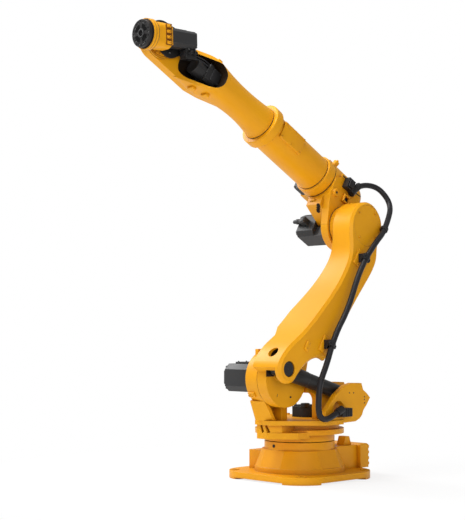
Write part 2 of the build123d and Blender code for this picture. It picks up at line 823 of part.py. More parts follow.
with BuildPart() as lower_arm_casting:
    with BuildSketch(arm_plane(arm_outer_side)):
        with BuildLine():
            front = Spline(
                (lug_forward + lug_radius, -lug_drop),
                *shares_of(lower_arm_length, arm_front_shares),
                (arm_boss_radius, lower_arm_length),
                tangents=((0, 1), (0, 1)),
            )
            top = RadiusArc(front @ 1, (-arm_boss_radius, lower_arm_length), -arm_boss_radius)
            rear = Spline(
                top @ 1,
                *shares_of(lower_arm_length, arm_rear_shares),
                tangents=((0, -1), (0.35, -1)),
            )
            arch = Spline(
                rear @ 1,
                *shares_of(lower_arm_length, arm_arch_shares),
                (lug_forward - lug_radius, -lug_drop),
            )
            RadiusArc(arch @ 1, front @ 0, -lug_radius)
        make_face()
    extrude(amount=arm_outer_side - arm_belly_side)
    chamfer(lower_arm_casting.faces().sort_by(Axis.Y)[-1].edges(), arm_bevel)
    with BuildSketch(arm_front_plane()):
        Polygon(
            (arm_hub_side, -2 * arm_hub_radius),
            (arm_hub_side, arm_hub_share * lower_arm_length),
            (arm_belly_side, arm_belly_shares[0] * lower_arm_length),
            (arm_belly_side, arm_belly_shares[1] * lower_arm_length),
            (arm_top_side, arm_top_share * lower_arm_length),
            (arm_top_side, lower_arm_length + 2 * arm_boss_radius),
            (arm_outer_side, lower_arm_length + 2 * arm_boss_radius),
            (arm_outer_side, -2 * arm_hub_radius),
            align=None,
        )
    extrude(amount=lower_arm_length, both=True, mode=Mode.INTERSECT)
    with BuildSketch(arm_front_plane()):
        Polygon(
            (0, -nose_floor),
            (pocket_side, -nose_floor),
            (pocket_side, -2 * arm_hub_radius),
            (0, -2 * arm_hub_radius),
            align=None,
        )
    extrude(amount=lower_arm_length, both=True, mode=Mode.SUBTRACT)
    with BuildSketch(arm_plane(pocket_side)):
        Polygon(*[(corner.X, corner.Y) for corner in pocket_corners], align=None)
        with Locations((lug_forward, -lug_drop)):
            Circle(pocket_radius)
    extrude(amount=pocket_side - pocket_floor, mode=Mode.SUBTRACT)
    with BuildSketch(arm_plane(arm_hub_face)):
        Circle(arm_hub_radius)
        Polygon(
            (arm_hub_radius, 0),
            (arm_front_shares[0][0] * lower_arm_length, arm_front_shares[0][1] * lower_arm_length),
            (arm_arch_shares[1][0] * lower_arm_length, hub_web_share * lower_arm_length),
            (arm_rear_shares[3][0] * lower_arm_length, hub_web_share * lower_arm_length),
            (arm_rear_shares[4][0] * lower_arm_length, arm_rear_shares[4][1] * lower_arm_length),
            (-arm_hub_radius, 0),
            align=None,
        )
    extrude(amount=arm_hub_width)
    with BuildSketch(
        Plane(
            origin=(
                j2_forward + lower_arm_length * lean_cos - core_hole_rise * lean_sin,
                core_hole_side,
                j2_height + lower_arm_length * lean_sin + core_hole_rise * lean_cos,
            ),
            x_dir=(0, 1, 0),
            z_dir=(lean_cos, 0, lean_sin),
        )
    ):
        Circle(core_hole_radius)
    extrude(
        amount=-lower_arm_length + lug_forward + pocket_radius - core_hole_depth,
        mode=Mode.SUBTRACT,
    )
    with BuildSketch(arm_plane(arm_outer_side)):
        with Locations((lug_forward, -lug_drop)):
            Circle(lug_bore_radius)
    extrude(amount=arm_wall, mode=Mode.SUBTRACT)
    with BuildSketch(arm_plane(pocket_floor)):
        with Locations((lug_forward, -lug_drop)):
            Circle(pin_radius + pin_play)
    extrude(amount=pin_seat_depth, mode=Mode.SUBTRACT)
    with BuildSketch(arm_plane(arm_outer_side)):
        with Locations((0, lower_arm_length)):
            Circle(j3_cover_radius + pin_play)
    extrude(amount=j3_cover_inset, mode=Mode.SUBTRACT)
    with BuildSketch(arm_plane(arm_top_side)):
        with Locations((0, lower_arm_length)):
            Circle(j3_bore_radius + pin_play)
    extrude(amount=-j3_bore_depth - turning_gap, mode=Mode.SUBTRACT)
    with BuildSketch(arm_plane(arm_hub_side)):
        Circle(j2_spigot_radius + pin_play)
    extrude(amount=-j2_spigot_length - turning_gap, mode=Mode.SUBTRACT)
save(lower_arm_casting, "lower_arm_casting")

pin_head_face = arm_outer_side - pin_head_inset

with BuildPart() as counterbalance_pin:
    with BuildSketch(arm_plane(pin_head_face)):
        with Locations((lug_forward, -lug_drop)):
            Circle(lug_bore_radius - pin_play)
    extrude(amount=pin_head_depth)
    with BuildSketch(arm_plane(pin_head_face - pin_head_depth)):
        with Locations((lug_forward, -lug_drop)):
            Circle(pin_radius)
    extrude(amount=pin_head_face - pin_head_depth - pocket_floor + pin_seat_depth)
save(counterbalance_pin, "counterbalance_pin")

with BuildPart() as j3_cover:
    with BuildSketch(arm_plane(arm_outer_side - j3_cover_inset + j3_cover_thick)):
        with Locations((0, lower_arm_length)):
            Circle(j3_cover_radius)
    extrude(amount=j3_cover_thick)
save(j3_cover, "j3_cover")

# Elbow housing, which swings on the third axis and carries the motors of axes three and four

web_far_points = shares_of(housing_hub_radius, web_far_shares)
web_near_points = shares_of(housing_hub_radius, web_near_shares)

with BuildPart() as elbow_housing:
    with BuildSketch(forearm_section(-housing_back)):
        Circle(housing_radius)
    extrude(amount=housing_front + housing_back)
    fillet(
        elbow_housing.edges().filter_by(GeomType.CIRCLE).sort_by(Axis.X)[0], housing_back_round
    )
    with BuildSketch(forearm_plane(housing_hub_side)):
        Polygon((housing_front, 0), *web_far_points, (-housing_back, 0), align=None)
    extrude(amount=housing_hub_side + housing_far_side)
    with BuildSketch(forearm_plane(housing_outer_side)):
        Polygon(
            (housing_front, 0),
            *web_near_points,
            (hose_bracket_back - bracket_fitting_radius, housing_seat_rise),
            (hose_bracket_back + hose_bracket_length, housing_seat_rise),
            align=None,
        )
        with Locations((0, -elbow_offset)):
            Circle(housing_hub_radius)
    extrude(amount=housing_outer_side - housing_hub_side)
    with BuildSketch(forearm_section(housing_front)):
        Circle(j4_spigot_radius)
    extrude(amount=j4_spigot_length)
    with BuildSketch(forearm_section(j4_mount_start)):
        with Locations((0, -j4_motor_drop)):
            Rectangle(
                housing_radius + j4_motor_size, j4_motor_size, align=(Align.MAX, Align.CENTER)
            )
    extrude(amount=j4_motor_start - j4_mount_start)
save(elbow_housing, "elbow_housing")

with BuildPart() as j3_reducer:
    with BuildSketch(forearm_plane(j3_ring_face)):
        with Locations((0, -elbow_offset)):
            Circle(j3_ring_radius)
    extrude(amount=j3_ring_face - housing_outer_side)
    with BuildSketch(forearm_plane(j3_ring_face)):
        with Locations((0, -elbow_offset)):
            Circle(j3_bore_radius)
    extrude(amount=-j3_bore_depth)
save(j3_reducer, "j3_reducer")

with BuildPart() as j3_motor:
    with BuildSketch(forearm_plane(-housing_far_side)) as s:
        with Locations((0, -elbow_offset)):
            Rectangle(j3_motor_size, j3_motor_size)
        chamfer(s.vertices(), j3_motor_corner)
    extrude(amount=j3_motor_length)
    with BuildSketch(forearm_plane(housing_hub_side)):
        with Locations((0, -elbow_offset - j3_motor_size / 2)):
            Rectangle(
                j3_motor_size - 2 * j3_motor_corner,
                j3_neck_height,
                align=(Align.CENTER, Align.MIN),
            )
    extrude(amount=housing_hub_side + housing_far_side)
save(j3_motor, "j3_motor")

with BuildPart() as j3_encoder:
    with BuildSketch(forearm_plane(-housing_far_side - j3_motor_length)) as s:
        with Locations((0, -elbow_offset)):
            Rectangle(j3_cap_size, j3_cap_size)
        chamfer(s.vertices(), j3_motor_corner / 2)
    extrude(amount=j3_cap_length)
save(j3_encoder, "j3_encoder")

with BuildPart() as j3_plug:
    with BuildSketch(forearm_plane(2 * j3_plug_size - housing_far_side - j3_motor_length)):
        with Locations((j3_motor_size / 2, -elbow_offset)):
            Rectangle(j3_plug_length, j3_plug_size, align=(Align.MIN, Align.CENTER))
    extrude(amount=j3_plug_size)
save(j3_plug, "j3_plug")

with BuildPart() as j4_motor:
    with BuildSketch(forearm_section(j4_motor_start)) as s:
        with Locations((-housing_radius - j4_motor_size / 2, -j4_motor_drop)):
            Rectangle(j4_motor_size, j4_motor_size)
        chamfer(s.vertices(), j3_motor_corner / 2)
    extrude(amount=j4_motor_length)
save(j4_motor, "j4_motor")

with BuildPart() as elbow_lug:
    with BuildSketch(forearm_plane(elbow_lug_thick / 2)):
        with Locations((housing_front - elbow_lug_back, housing_radius)):
            Rectangle(elbow_lug_length, elbow_lug_height, align=(Align.CENTER, Align.MIN))
        with Locations((housing_front - elbow_lug_back, housing_radius + elbow_lug_height / 2)):
            Circle(elbow_lug_hole_radius, mode=Mode.SUBTRACT)
    extrude(amount=elbow_lug_thick)
    with BuildSketch(forearm_section(-housing_back)):
        Circle(housing_radius)
    extrude(amount=housing_front + housing_back, mode=Mode.SUBTRACT)
save(elbow_lug, "elbow_lug")

# Forearm, which rolls on the fourth axis

with BuildPart() as elbow_ring:
    with BuildSketch(forearm_section(housing_front + turning_gap)):
        Circle(elbow_ring_radius)
    extrude(amount=elbow_ring_front - housing_front - turning_gap)
    with BuildSketch(forearm_section(housing_front)):
        Circle(j4_spigot_radius + pin_play)
    extrude(amount=j4_spigot_length + turning_gap, mode=Mode.SUBTRACT)
    fillet(elbow_ring.edges().filter_by(GeomType.CIRCLE).sort_by(Axis.X)[-1], ring_edge_round)
save(elbow_ring, "elbow_ring")

with BuildPart() as arm_tube:
    with BuildSketch(forearm_section(elbow_ring_front)):
        Circle(tube_radius)
    extrude(amount=extension_ring_back - elbow_ring_front)
save(arm_tube, "arm_tube")

with BuildPart() as extension_ring:
    with BuildSketch(forearm_section(extension_ring_back)):
        Circle(extension_ring_radius)
    extrude(amount=extension_ring_front - extension_ring_back)
    fillet(extension_ring.edges().filter_by(GeomType.CIRCLE), ring_edge_round)
save(extension_ring, "extension_ring")

with BuildPart() as forearm_casting:
    with BuildSketch(forearm_plane(cheek_face)):
        Polygon(
            (belly - cheek_tail, -cheek_tail_half - belly_drop),
            (belly + cheek_tail_half, -cheek_radius),
            (forearm_length, -cheek_radius),
            (forearm_length, cheek_radius),
            (belly + cheek_tail_half, cheek_radius - belly_drop),
            (belly - cheek_tail, cheek_tail_half - belly_drop),
            align=None,
        )
        with Locations((forearm_length, 0)):
            Circle(cheek_radius)
    extrude(amount=cheek_wall)
    fillet(forearm_casting.faces().sort_by(Axis.Y)[0].edges(), cheek_edge_round)
    with BuildSketch(Plane(origin=forearm_foot, x_dir=along_forearm, z_dir=across_forearm)):
        Polygon(
            (belly - cheek_tail, -cheek_far_side),
            (belly - cheek_tail, -cheek_tail_side),
            (belly, -cheek_far_side),
            align=None,
        )
    extrude(amount=2 * cheek_radius, both=True, mode=Mode.SUBTRACT)
    with BuildSketch(forearm_section(extension_ring_front)):
        RectangleRounded(2 * cone_back_radius, 2 * cone_back_radius, cone_back_radius * round_share)
    with BuildSketch(forearm_section(waist)):
        RectangleRounded(2 * waist_radius, 2 * waist_radius, waist_radius * round_share)
    with BuildSketch(forearm_section(belly)):
        with Locations((-belly_side, -belly_drop)):
            RectangleRounded(2 * belly_half_width, 2 * belly_half_height, belly_corner)
    loft()
    with BuildSketch(forearm_section(belly)):
        with Locations((-belly_side, -belly_drop)):
            RectangleRounded(2 * belly_half_width, 2 * belly_half_height, belly_corner)
    extrude(amount=rim_end - belly)
    with BuildSketch(Plane(origin=forearm_foot, x_dir=along_forearm, z_dir=across_forearm)):
        Polygon(
            (rim_start, 2 * rim_near_side),
            (rim_start, rim_near_side),
            (rim_end, cheek_face),
            (forearm_length + 2 * cheek_radius, cheek_face),
            (forearm_length + 2 * cheek_radius, 2 * rim_near_side),
            align=None,
        )
    extrude(amount=2 * cheek_radius, both=True, mode=Mode.SUBTRACT)
    with BuildSketch(forearm_plane(2 * rim_near_side)):
        with Locations((forearm_length - (cavity_back + cavity_front) / 2, -belly_drop)):
            RectangleRounded(cavity_back - cavity_front, 2 * cavity_half_height, cavity_corner)
    extrude(amount=2 * rim_near_side + cheek_far_side - cavity_floor, mode=Mode.SUBTRACT)
    with BuildSketch(forearm_plane(cavity_floor - cheek_far_side)):
        with Locations((forearm_length - j5_motor_back, -belly_drop)):
            Rectangle(j5_pad_length, j5_pad_width, align=(Align.MIN, Align.CENTER))
    extrude(amount=cavity_floor - cheek_far_side + j5_motor_side + j5_motor_size / 2)
    with BuildSketch(forearm_plane(cheek_face)):
        with Locations((forearm_length, 0)):
            Circle(wrist_spigot_radius + pin_play)
    extrude(amount=wrist_spigot_length + turning_gap, mode=Mode.SUBTRACT)
save(forearm_casting, "forearm_casting")

with BuildPart() as j5_motor:
    with BuildSketch(forearm_section(forearm_length - j5_motor_back)) as s:
        with Locations((-j5_motor_side, -belly_drop)):
            Rectangle(j5_motor_size, j5_motor_size)
        chamfer(s.vertices(), j5_motor_corner)
    extrude(amount=j5_motor_length)
    with BuildSketch(forearm_section(forearm_length - j5_motor_back + j5_motor_length)):
        with Locations((-j5_motor_side, -belly_drop)):
            Circle(j5_gear_radius)
    extrude(amount=j5_gear_length)
save(j5_motor, "j5_motor")

# Wrist, which bends on the fifth axis

with BuildPart() as wrist_housing:
    with BuildSketch(wrist_section(wrist_motor_face)):
        RectangleRounded(2 * wrist_near_side, 2 * wrist_half_height, wrist_corner)
    extrude(amount=wrist_neck - wrist_motor_face)
    with BuildSketch(wrist_section(wrist_neck)):
        RectangleRounded(2 * wrist_near_side, 2 * wrist_half_height, wrist_corner)
    with BuildSketch(wrist_section(wrist_ring_back)):
        RectangleRounded(
            2 * wrist_collar_radius, 2 * wrist_collar_radius, wrist_collar_radius * round_share
        )
    loft()
    with BuildSketch(wrist_section(wrist_ring_back)):
        Circle(wrist_ring_radius)
    extrude(amount=wrist_ring_front - wrist_ring_back)
    with BuildSketch(wrist_plane(wrist_far_side)):
        Rectangle(4 * wrist_ring_front, 4 * wrist_ring_front)
    extrude(amount=wrist_ring_front, mode=Mode.SUBTRACT)
    with BuildSketch(wrist_plane(wrist_far_side)):
        Circle(wrist_hub_radius)
    extrude(amount=-wrist_hub_width)
    with BuildSketch(wrist_plane(wrist_far_side)):
        Circle(wrist_spigot_radius)
    extrude(amount=wrist_spigot_length)
    with BuildSketch(wrist_section(wrist_ring_front)):
        Circle(flange_spigot_radius + pin_play)
    extrude(amount=-flange_spigot_length, mode=Mode.SUBTRACT)
save(wrist_housing, "wrist_housing")

wrist_cover_far = wrist_far_side + wrist_hub_width
wrist_cover_near = -j6_motor_size / 2

with BuildPart() as wrist_cover:
    with BuildSketch(wrist_plane(wrist_cover_near)):
        with Locations((-wrist_cover_back, -wrist_cover_drop)):
            Circle(wrist_cover_radius)
        with Locations((wrist_motor_face - motor_plate_thick, 0)):
            Rectangle(
                wrist_cover_radius,
                4 * wrist_cover_radius,
                align=(Align.MIN, Align.CENTER),
                mode=Mode.SUBTRACT,
            )
    extrude(amount=wrist_cover_near - wrist_cover_far)
save(wrist_cover, "wrist_cover")

with BuildPart() as j6_motor_plate:
    with BuildSketch(wrist_section(wrist_motor_face)) as s:
        Rectangle(motor_plate_width, motor_plate_height)
        chamfer(s.vertices(), j6_motor_corner)
    extrude(amount=-motor_plate_thick)
save(j6_motor_plate, "j6_motor_plate")

with BuildPart() as j6_motor:
    with BuildSketch(wrist_section(wrist_motor_face - motor_plate_thick)) as s:
        Rectangle(j6_motor_size, j6_motor_size)
        chamfer(s.vertices(), j6_motor_corner)
    extrude(amount=-j6_motor_length)
save(j6_motor, "j6_motor")

with BuildPart() as wrist_cable_box:
    with BuildSketch(wrist_plane(junction_width / 2)):
        with Locations((-junction_back, -j6_motor_size / 2)):
            Rectangle(junction_length, junction_height, align=(Align.CENTER, Align.MAX))
    extrude(amount=junction_width)
save(wrist_cable_box, "wrist_cable_box")

# Tool flange, which turns on the sixth axis

with BuildPart() as tool_flange:
    with BuildSketch(wrist_section(wrist_ring_front + turning_gap)):
        Circle(flange_radius)
    extrude(amount=tool_length - wrist_ring_front - turning_gap)
    fillet(tool_flange.edges().filter_by(GeomType.CIRCLE), flange_edge_round)
    with BuildSketch(wrist_section(wrist_ring_front + turning_gap)):
        Circle(flange_spigot_radius)
    extrude(amount=-flange_spigot_length)
    with BuildSketch(wrist_section(tool_length)):
        Circle(flange_bore_radius)
    extrude(amount=-flange_bolt_depth, mode=Mode.SUBTRACT)
    with BuildSketch(wrist_section(tool_length)):
        Circle(kidney_radius + kidney_width / 2)
        Circle(kidney_radius - kidney_width / 2, mode=Mode.SUBTRACT)
        Rectangle(kidney_spoke, 2 * flange_radius, mode=Mode.SUBTRACT)
        Rectangle(2 * flange_radius, kidney_spoke, mode=Mode.SUBTRACT)
    extrude(amount=-kidney_depth, mode=Mode.SUBTRACT)
    with BuildSketch(wrist_section(tool_length)):
        with PolarLocations(flange_bolt_circle / 2, flange_bolt_count):
            Circle(flange_bolt_hole_radius)
    extrude(amount=-flange_bolt_depth, mode=Mode.SUBTRACT)
save(tool_flange, "tool_flange")

# Dress hose, clipped to the outer face of the lower arm


def route_point(forward_share, side, height_share):
    return Vector(
        j2_forward + forward_share * lower_arm_length,
        side,
        j2_height + height_share * lower_arm_length,
    )


# the largest round that fits each bend of a route of straight runs
def bend_radii(points):
    radii = []
    for i in range(1, len(points) - 1):
        run_in = points[i] - points[i - 1]
        run_out = points[i + 1] - points[i]
        half_turn = radians(run_in.get_angle(run_out)) / 2
        radii.append(bend_share * min(run_in.length, run_out.length) * cos(half_turn) / sin(half_turn))
    return radii


# a sketch plane facing the side of the arm, centred on a point of the route
def clamp_plane(point, y):
    return Plane(origin=(point.X, y, point.Z), x_dir=(1, 0, 0), z_dir=(0, -1, 0))


hose_bracket_point = (
    forearm_foot
    + along_forearm * (hose_bracket_back - bracket_fitting_length)
    + across_forearm * hose_bracket_rise
    + Vector(0, hose_bracket_side, 0)
)
upper_split = route_point(-0.5067, hose_side, 0.7058)
upper_bend = route_point(-0.4222, hose_side, 0.6169)
middle_bend = route_point(-0.3111, hose_side, 0.3733)
lower_split = route_point(-0.1309, hose_side, 0.1221)
upper_clamp_point = upper_split + (upper_bend - upper_split) * clamp_share
lower_clamp_point = lower_split + (middle_bend - lower_split) * clamp_share / 2

hose_lead = across_forearm * cos(radians(hose_lead_tilt)) - along_forearm * sin(
    radians(hose_lead_tilt)
)
elbow_route = [hose_bracket_point, hose_bracket_point + hose_lead * hose_lead_run]
for forward_share, side_share, height_share in elbow_route_shares:
    side = hose_bracket_side + (hose_side - hose_bracket_side) * side_share
    elbow_route.append(route_point(forward_share, side, height_share))
elbow_route.append(upper_split + (upper_split - upper_bend) * elbow_run_share)
elbow_route.append(upper_split)
arm_route = [upper_split, upper_bend, middle_bend, lower_split]
base_route = [
    lower_split,
    lower_split + (lower_split - middle_bend) * base_run_share,
    route_point(-0.0738, hose_side, -0.0622),
    route_point(-0.0684, hose_side, -0.1778),
    route_point(-0.0978, hose_side, -0.2116),
    route_point(-0.1511, hose_side, -0.2116),
    Vector(anchor_forward + anchor_fitting_length, hose_side, anchor_level),
]

with BuildPart() as dress_hose_elbow:
    with BuildLine() as path:
        FilletPolyline(*elbow_route, radius=bend_radii(elbow_route))
    with BuildSketch(Plane(origin=path.line @ 0, z_dir=path.line % 0)):
        Circle(hose_radius)
    sweep(path=path.line)
save(dress_hose_elbow, "dress_hose_elbow")

with BuildPart() as dress_hose_arm:
    with BuildLine() as path:
        FilletPolyline(*arm_route, radius=bend_radii(arm_route))
    with BuildSketch(Plane(origin=path.line @ 0, z_dir=path.line % 0)):
        Circle(hose_radius)
    sweep(path=path.line)
save(dress_hose_arm, "dress_hose_arm")

with BuildPart() as dress_hose_base:
    with BuildLine() as path:
        FilletPolyline(*base_route, radius=bend_radii(base_route))
    with BuildSketch(Plane(origin=path.line @ 0, z_dir=path.line % 0)):
        Circle(hose_radius)
    sweep(path=path.line)
save(dress_hose_base, "dress_hose_base")

clamp_top = hose_side + clamp_cap_share * hose_radius

with BuildPart() as hose_clamp_upper:
    with BuildSketch(clamp_plane(upper_clamp_point, clamp_top)):
        Rectangle(clamp_foot, clamp_foot)
    extrude(amount=clamp_top - arm_outer_side)
    with BuildSketch(Plane(origin=upper_clamp_point, z_dir=upper_bend - upper_split)):
        Circle(hose_radius + pin_play)
    extrude(amount=clamp_foot, both=True, mode=Mode.SUBTRACT)
save(hose_clamp_upper, "hose_clamp_upper")

with BuildPart() as hose_clamp_lower:
    with BuildSketch(clamp_plane(lower_clamp_point, clamp_top)):
        Rectangle(clamp_foot, clamp_foot)
    extrude(amount=clamp_top - arm_outer_side)
    with BuildSketch(Plane(origin=lower_clamp_point, z_dir=lower_split - middle_bend)):
        Circle(hose_radius + pin_play)
    extrude(amount=clamp_foot, both=True, mode=Mode.SUBTRACT)
save(hose_clamp_lower, "hose_clamp_lower")

with BuildPart() as hose_anchor:
    with BuildSketch(side_plane(hose_side + hose_radius)):
        with Locations((anchor_forward - anchor_length / 2, anchor_level)):
            Rectangle(anchor_length, anchor_height)
    extrude(amount=hose_side + hose_radius - bracket_outer_side)
    with BuildSketch(Plane(origin=base_route[-1], z_dir=base_route[-1] - base_route[-2])):
        Circle(anchor_fitting_radius)
    extrude(amount=anchor_fitting_length + hose_radius)
save(hose_anchor, "hose_anchor")

with BuildPart() as hose_bracket:
    with BuildSketch(forearm_plane(hose_bracket_side + hose_radius)):
        with Locations((hose_bracket_back, hose_bracket_rise)):
            Rectangle(hose_bracket_length, hose_bracket_height, align=(Align.MIN, Align.CENTER))
    extrude(amount=hose_bracket_side + hose_radius - housing_outer_side)
    with BuildSketch(Plane(origin=elbow_route[0], z_dir=elbow_route[0] - elbow_route[1])):
        Circle(bracket_fitting_radius)
    extrude(amount=bracket_fitting_length + hose_radius)
save(hose_bracket, "hose_bracket")
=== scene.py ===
import json
from math import cos, pi, radians, sin

import bmesh
import bpy
from mathutils import Matrix, Vector


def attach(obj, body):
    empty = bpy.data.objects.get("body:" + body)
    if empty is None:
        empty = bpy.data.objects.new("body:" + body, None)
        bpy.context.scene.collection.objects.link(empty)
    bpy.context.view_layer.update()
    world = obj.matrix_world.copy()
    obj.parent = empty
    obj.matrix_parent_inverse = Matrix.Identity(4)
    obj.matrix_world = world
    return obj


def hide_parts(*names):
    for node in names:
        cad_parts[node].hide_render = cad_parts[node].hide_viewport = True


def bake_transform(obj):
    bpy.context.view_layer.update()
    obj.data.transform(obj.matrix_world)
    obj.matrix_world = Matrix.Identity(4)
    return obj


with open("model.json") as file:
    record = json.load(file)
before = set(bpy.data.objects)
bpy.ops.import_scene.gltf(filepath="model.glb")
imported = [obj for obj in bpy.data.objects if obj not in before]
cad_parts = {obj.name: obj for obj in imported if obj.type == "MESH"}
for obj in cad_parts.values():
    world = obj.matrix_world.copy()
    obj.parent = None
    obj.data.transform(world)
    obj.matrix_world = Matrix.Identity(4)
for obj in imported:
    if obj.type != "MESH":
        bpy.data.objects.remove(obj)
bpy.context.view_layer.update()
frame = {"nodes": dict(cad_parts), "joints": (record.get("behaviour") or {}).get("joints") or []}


# Base: a square foot with rounded corners under a faceted cone, one iron casting with a box for
# the cables at its back. It is sprayed golden yellow, a satin paint with a faint orange peel that
# lies thin on the edges, with painted shade darkening the corners.
def node_inputs(node, **values):
    for socket, value in values.items():
        node.inputs[socket.replace("_", " ")].default_value = value
    return node


def effect_group(name, outputs):
    group = bpy.data.node_groups.new(name, "ShaderNodeTree")
    for socket, kind in outputs:
        group.interface.new_socket(name=socket, in_out="OUTPUT", socket_type=kind)
    return group, group.nodes, group.links, group.nodes.new("NodeGroupOutput")


def ramp_between(nodes, links, value, low, high):
    spread = nodes.new("ShaderNodeMapRange")
    node_inputs(spread, From_Min=low, From_Max=high)
    links.new(value, spread.inputs["Value"])
    return spread.outputs["Result"]


# edges where paint lies thin, and painted shade in corners and hollows, from how closed in they are
edge_reach, corner_reach = 0.0035, 0.05
edge_group, nodes, links, out = effect_group(
    "edges_and_corners",
    (("Edge", "NodeSocketFloat"), ("Corner", "NodeSocketFloat"), ("Normal", "NodeSocketVector")),
)
rounded = node_inputs(nodes.new("ShaderNodeBevel"), Radius=edge_reach)
rounded.samples = 6
flat = nodes.new("ShaderNodeNewGeometry")
lean = nodes.new("ShaderNodeVectorMath")
lean.operation = "DOT_PRODUCT"
links.new(rounded.outputs["Normal"], lean.inputs[0])
links.new(flat.outputs["Normal"], lean.inputs[1])
links.new(ramp_between(nodes, links, lean.outputs["Value"], 0.995, 0.80), out.inputs["Edge"])
shade = node_inputs(nodes.new("ShaderNodeAmbientOcclusion"), Distance=corner_reach)
shade.samples = 6
links.new(ramp_between(nodes, links, shade.outputs["AO"], 0.75, 0.15), out.inputs["Corner"])
links.new(rounded.outputs["Normal"], out.inputs["Normal"])

# sprayed paint: a slow drift in tone, and the orange peel that catches the light
drift_scale, peel_scale = 4.0, 260.0
spray_group, nodes, links, out = effect_group(
    "sprayed_film", (("Tone", "NodeSocketFloat"), ("Peel", "NodeSocketFloat"))
)
place = nodes.new("ShaderNodeTexCoord")
drift = node_inputs(nodes.new("ShaderNodeTexNoise"), Scale=drift_scale, Detail=3.0)
links.new(place.outputs["Object"], drift.inputs["Vector"])
links.new(ramp_between(nodes, links, drift.outputs["Fac"], 0.3, 0.7), out.inputs["Tone"])
peel = node_inputs(nodes.new("ShaderNodeTexNoise"), Scale=peel_scale, Detail=2.0)
links.new(place.outputs["Object"], peel.inputs["Vector"])
links.new(peel.outputs["Fac"], out.inputs["Peel"])


def colour_mix(nodes, links, mask, first, second):
    blend = nodes.new("ShaderNodeMix")
    blend.data_type = "RGBA"
    links.new(mask, blend.inputs["Factor"])
    for socket, colour in ((blend.inputs[6], first), (blend.inputs[7], second)):
        if isinstance(colour, tuple):
            socket.default_value = (*colour, 1.0)
        else:
            links.new(colour, socket)
    return blend.outputs[2]


def sprayed(name, colour, drifted, thin, corner_shade, gloss, peel_depth, shine):
    paint = bpy.data.materials.new(name)
    paint.use_nodes = True
    nodes, links = paint.node_tree.nodes, paint.node_tree.links
    shader = node_inputs(nodes["Principled BSDF"], Specular_IOR_Level=shine)
    film = nodes.new("ShaderNodeGroup")
    film.node_tree = spray_group
    wear_and_shade = nodes.new("ShaderNodeGroup")
    wear_and_shade.node_tree = edge_group
    body = colour_mix(nodes, links, film.outputs["Tone"], colour, drifted)
    edged = colour_mix(nodes, links, wear_and_shade.outputs["Edge"], body, thin)
    # painted shade: the corner mask darkens the paint towards a darker colour in corners and hollows
    shaded_colour = colour_mix(nodes, links, wear_and_shade.outputs["Corner"], edged, corner_shade)
    links.new(shaded_colour, shader.inputs["Base Color"])
    rough = ramp_between(nodes, links, film.outputs["Tone"], 0.0, 1.0)
    node_inputs(rough.node, To_Min=gloss - 0.05, To_Max=gloss + 0.05)
    links.new(rough, shader.inputs["Roughness"])
    bump = node_inputs(nodes.new("ShaderNodeBump"), Strength=0.35, Distance=peel_depth)
    links.new(film.outputs["Peel"], bump.inputs["Height"])
    links.new(wear_and_shade.outputs["Normal"], bump.inputs["Normal"])
    links.new(bump.outputs["Normal"], shader.inputs["Normal"])
    return paint


def finish_node(material, *names):
    for name in names:
        for slot in frame["nodes"][name].material_slots:
            slot.material = material


yellow_paint = sprayed(
    "yellow_paint",
    colour=(0.76, 0.338, 0.003),
    drifted=(0.72, 0.308, 0.004),
    thin=(0.82, 0.420, 0.022),
    corner_shade=(0.36, 0.105, 0.003),
    gloss=0.42,
    peel_depth=0.0004,
    shine=0.21,
)
black_plastic = sprayed(
    "black_plastic",
    colour=(0.018, 0.017, 0.018),
    drifted=(0.014, 0.014, 0.015),
    thin=(0.045, 0.044, 0.046),
    corner_shade=(0.008, 0.008, 0.008),
    gloss=0.42,
    peel_depth=0.0003,
    shine=0.20,
)
finish_node(yellow_paint, "base_casting", "base_connector_box", "base_side_cover", "j1_stop_block")
finish_node(black_plastic, "base_connectors")
sharp_angle = radians(32)


def new_piece(name, bm, body, slot, *materials):
    bmesh.ops.recalc_face_normals(bm, faces=bm.faces)
    for face in bm.faces:
        face.smooth = True
    mesh = bpy.data.meshes.new(name)
    bm.to_mesh(mesh)
    bm.free()
    mesh.set_sharp_from_angle(angle=sharp_angle)
    for material in materials:
        mesh.materials.append(material)
    piece = bpy.data.objects.new(name, mesh)
    bpy.context.collection.objects.link(piece)
    if body:
        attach(piece, body)
    return piece


def facing(place, direction, across=None):
    forward = Vector(direction).normalized()
    side = Vector(across) if across else forward.orthogonal()
    side = (side - forward * side.dot(forward)).normalized()
    turn = Matrix((side, forward.cross(side), forward)).transposed()
    return Matrix.Translation(Vector(place)) @ turn.to_4x4()


def turned(bm, profile, place, direction, steps=48):
    others = set(bm.verts)
    ring = [bm.verts.new((radius, 0.0, along)) for radius, along in profile]
    edges = [bm.edges.new(pair) for pair in zip(ring, ring[1:] + ring[:1])]
    bmesh.ops.spin(
        bm,
        geom=ring + edges,
        cent=(0, 0, 0),
        axis=(0, 0, 1),
        angle=2 * pi,
        steps=steps,
        use_merge=True,
    )
    made = [vert for vert in bm.verts if vert not in others]
    bmesh.ops.transform(bm, matrix=facing(place, direction), verts=made)


def plain_ring(bm, inner, outer, start, end, place, direction, steps):
    profile = ((inner, start), (outer, start), (outer, end), (inner, end))
    turned(bm, profile, place, direction, steps)


def cap_screws(bm, places, direction, thread):
    away = Vector(direction).normalized()
    for place in places:
        seat = facing(place, direction) @ Matrix.Translation((0.0, 0.0, 0.3 * thread))
        head = bmesh.ops.create_cone(
            bm,
            cap_ends=True,
            segments=14,
            radius1=0.80 * thread,
            radius2=0.74 * thread,
            depth=1.0 * thread,
            matrix=seat,
        )["verts"]
        faces = {face for vert in head for face in vert.link_faces}
        top = max(faces, key=lambda face: face.calc_center_median().dot(away))
        bmesh.ops.inset_individual(bm, faces=[top], thickness=0.28 * thread)
        bmesh.ops.inset_individual(bm, faces=[top], thickness=0.04 * thread, depth=-0.5 * thread)


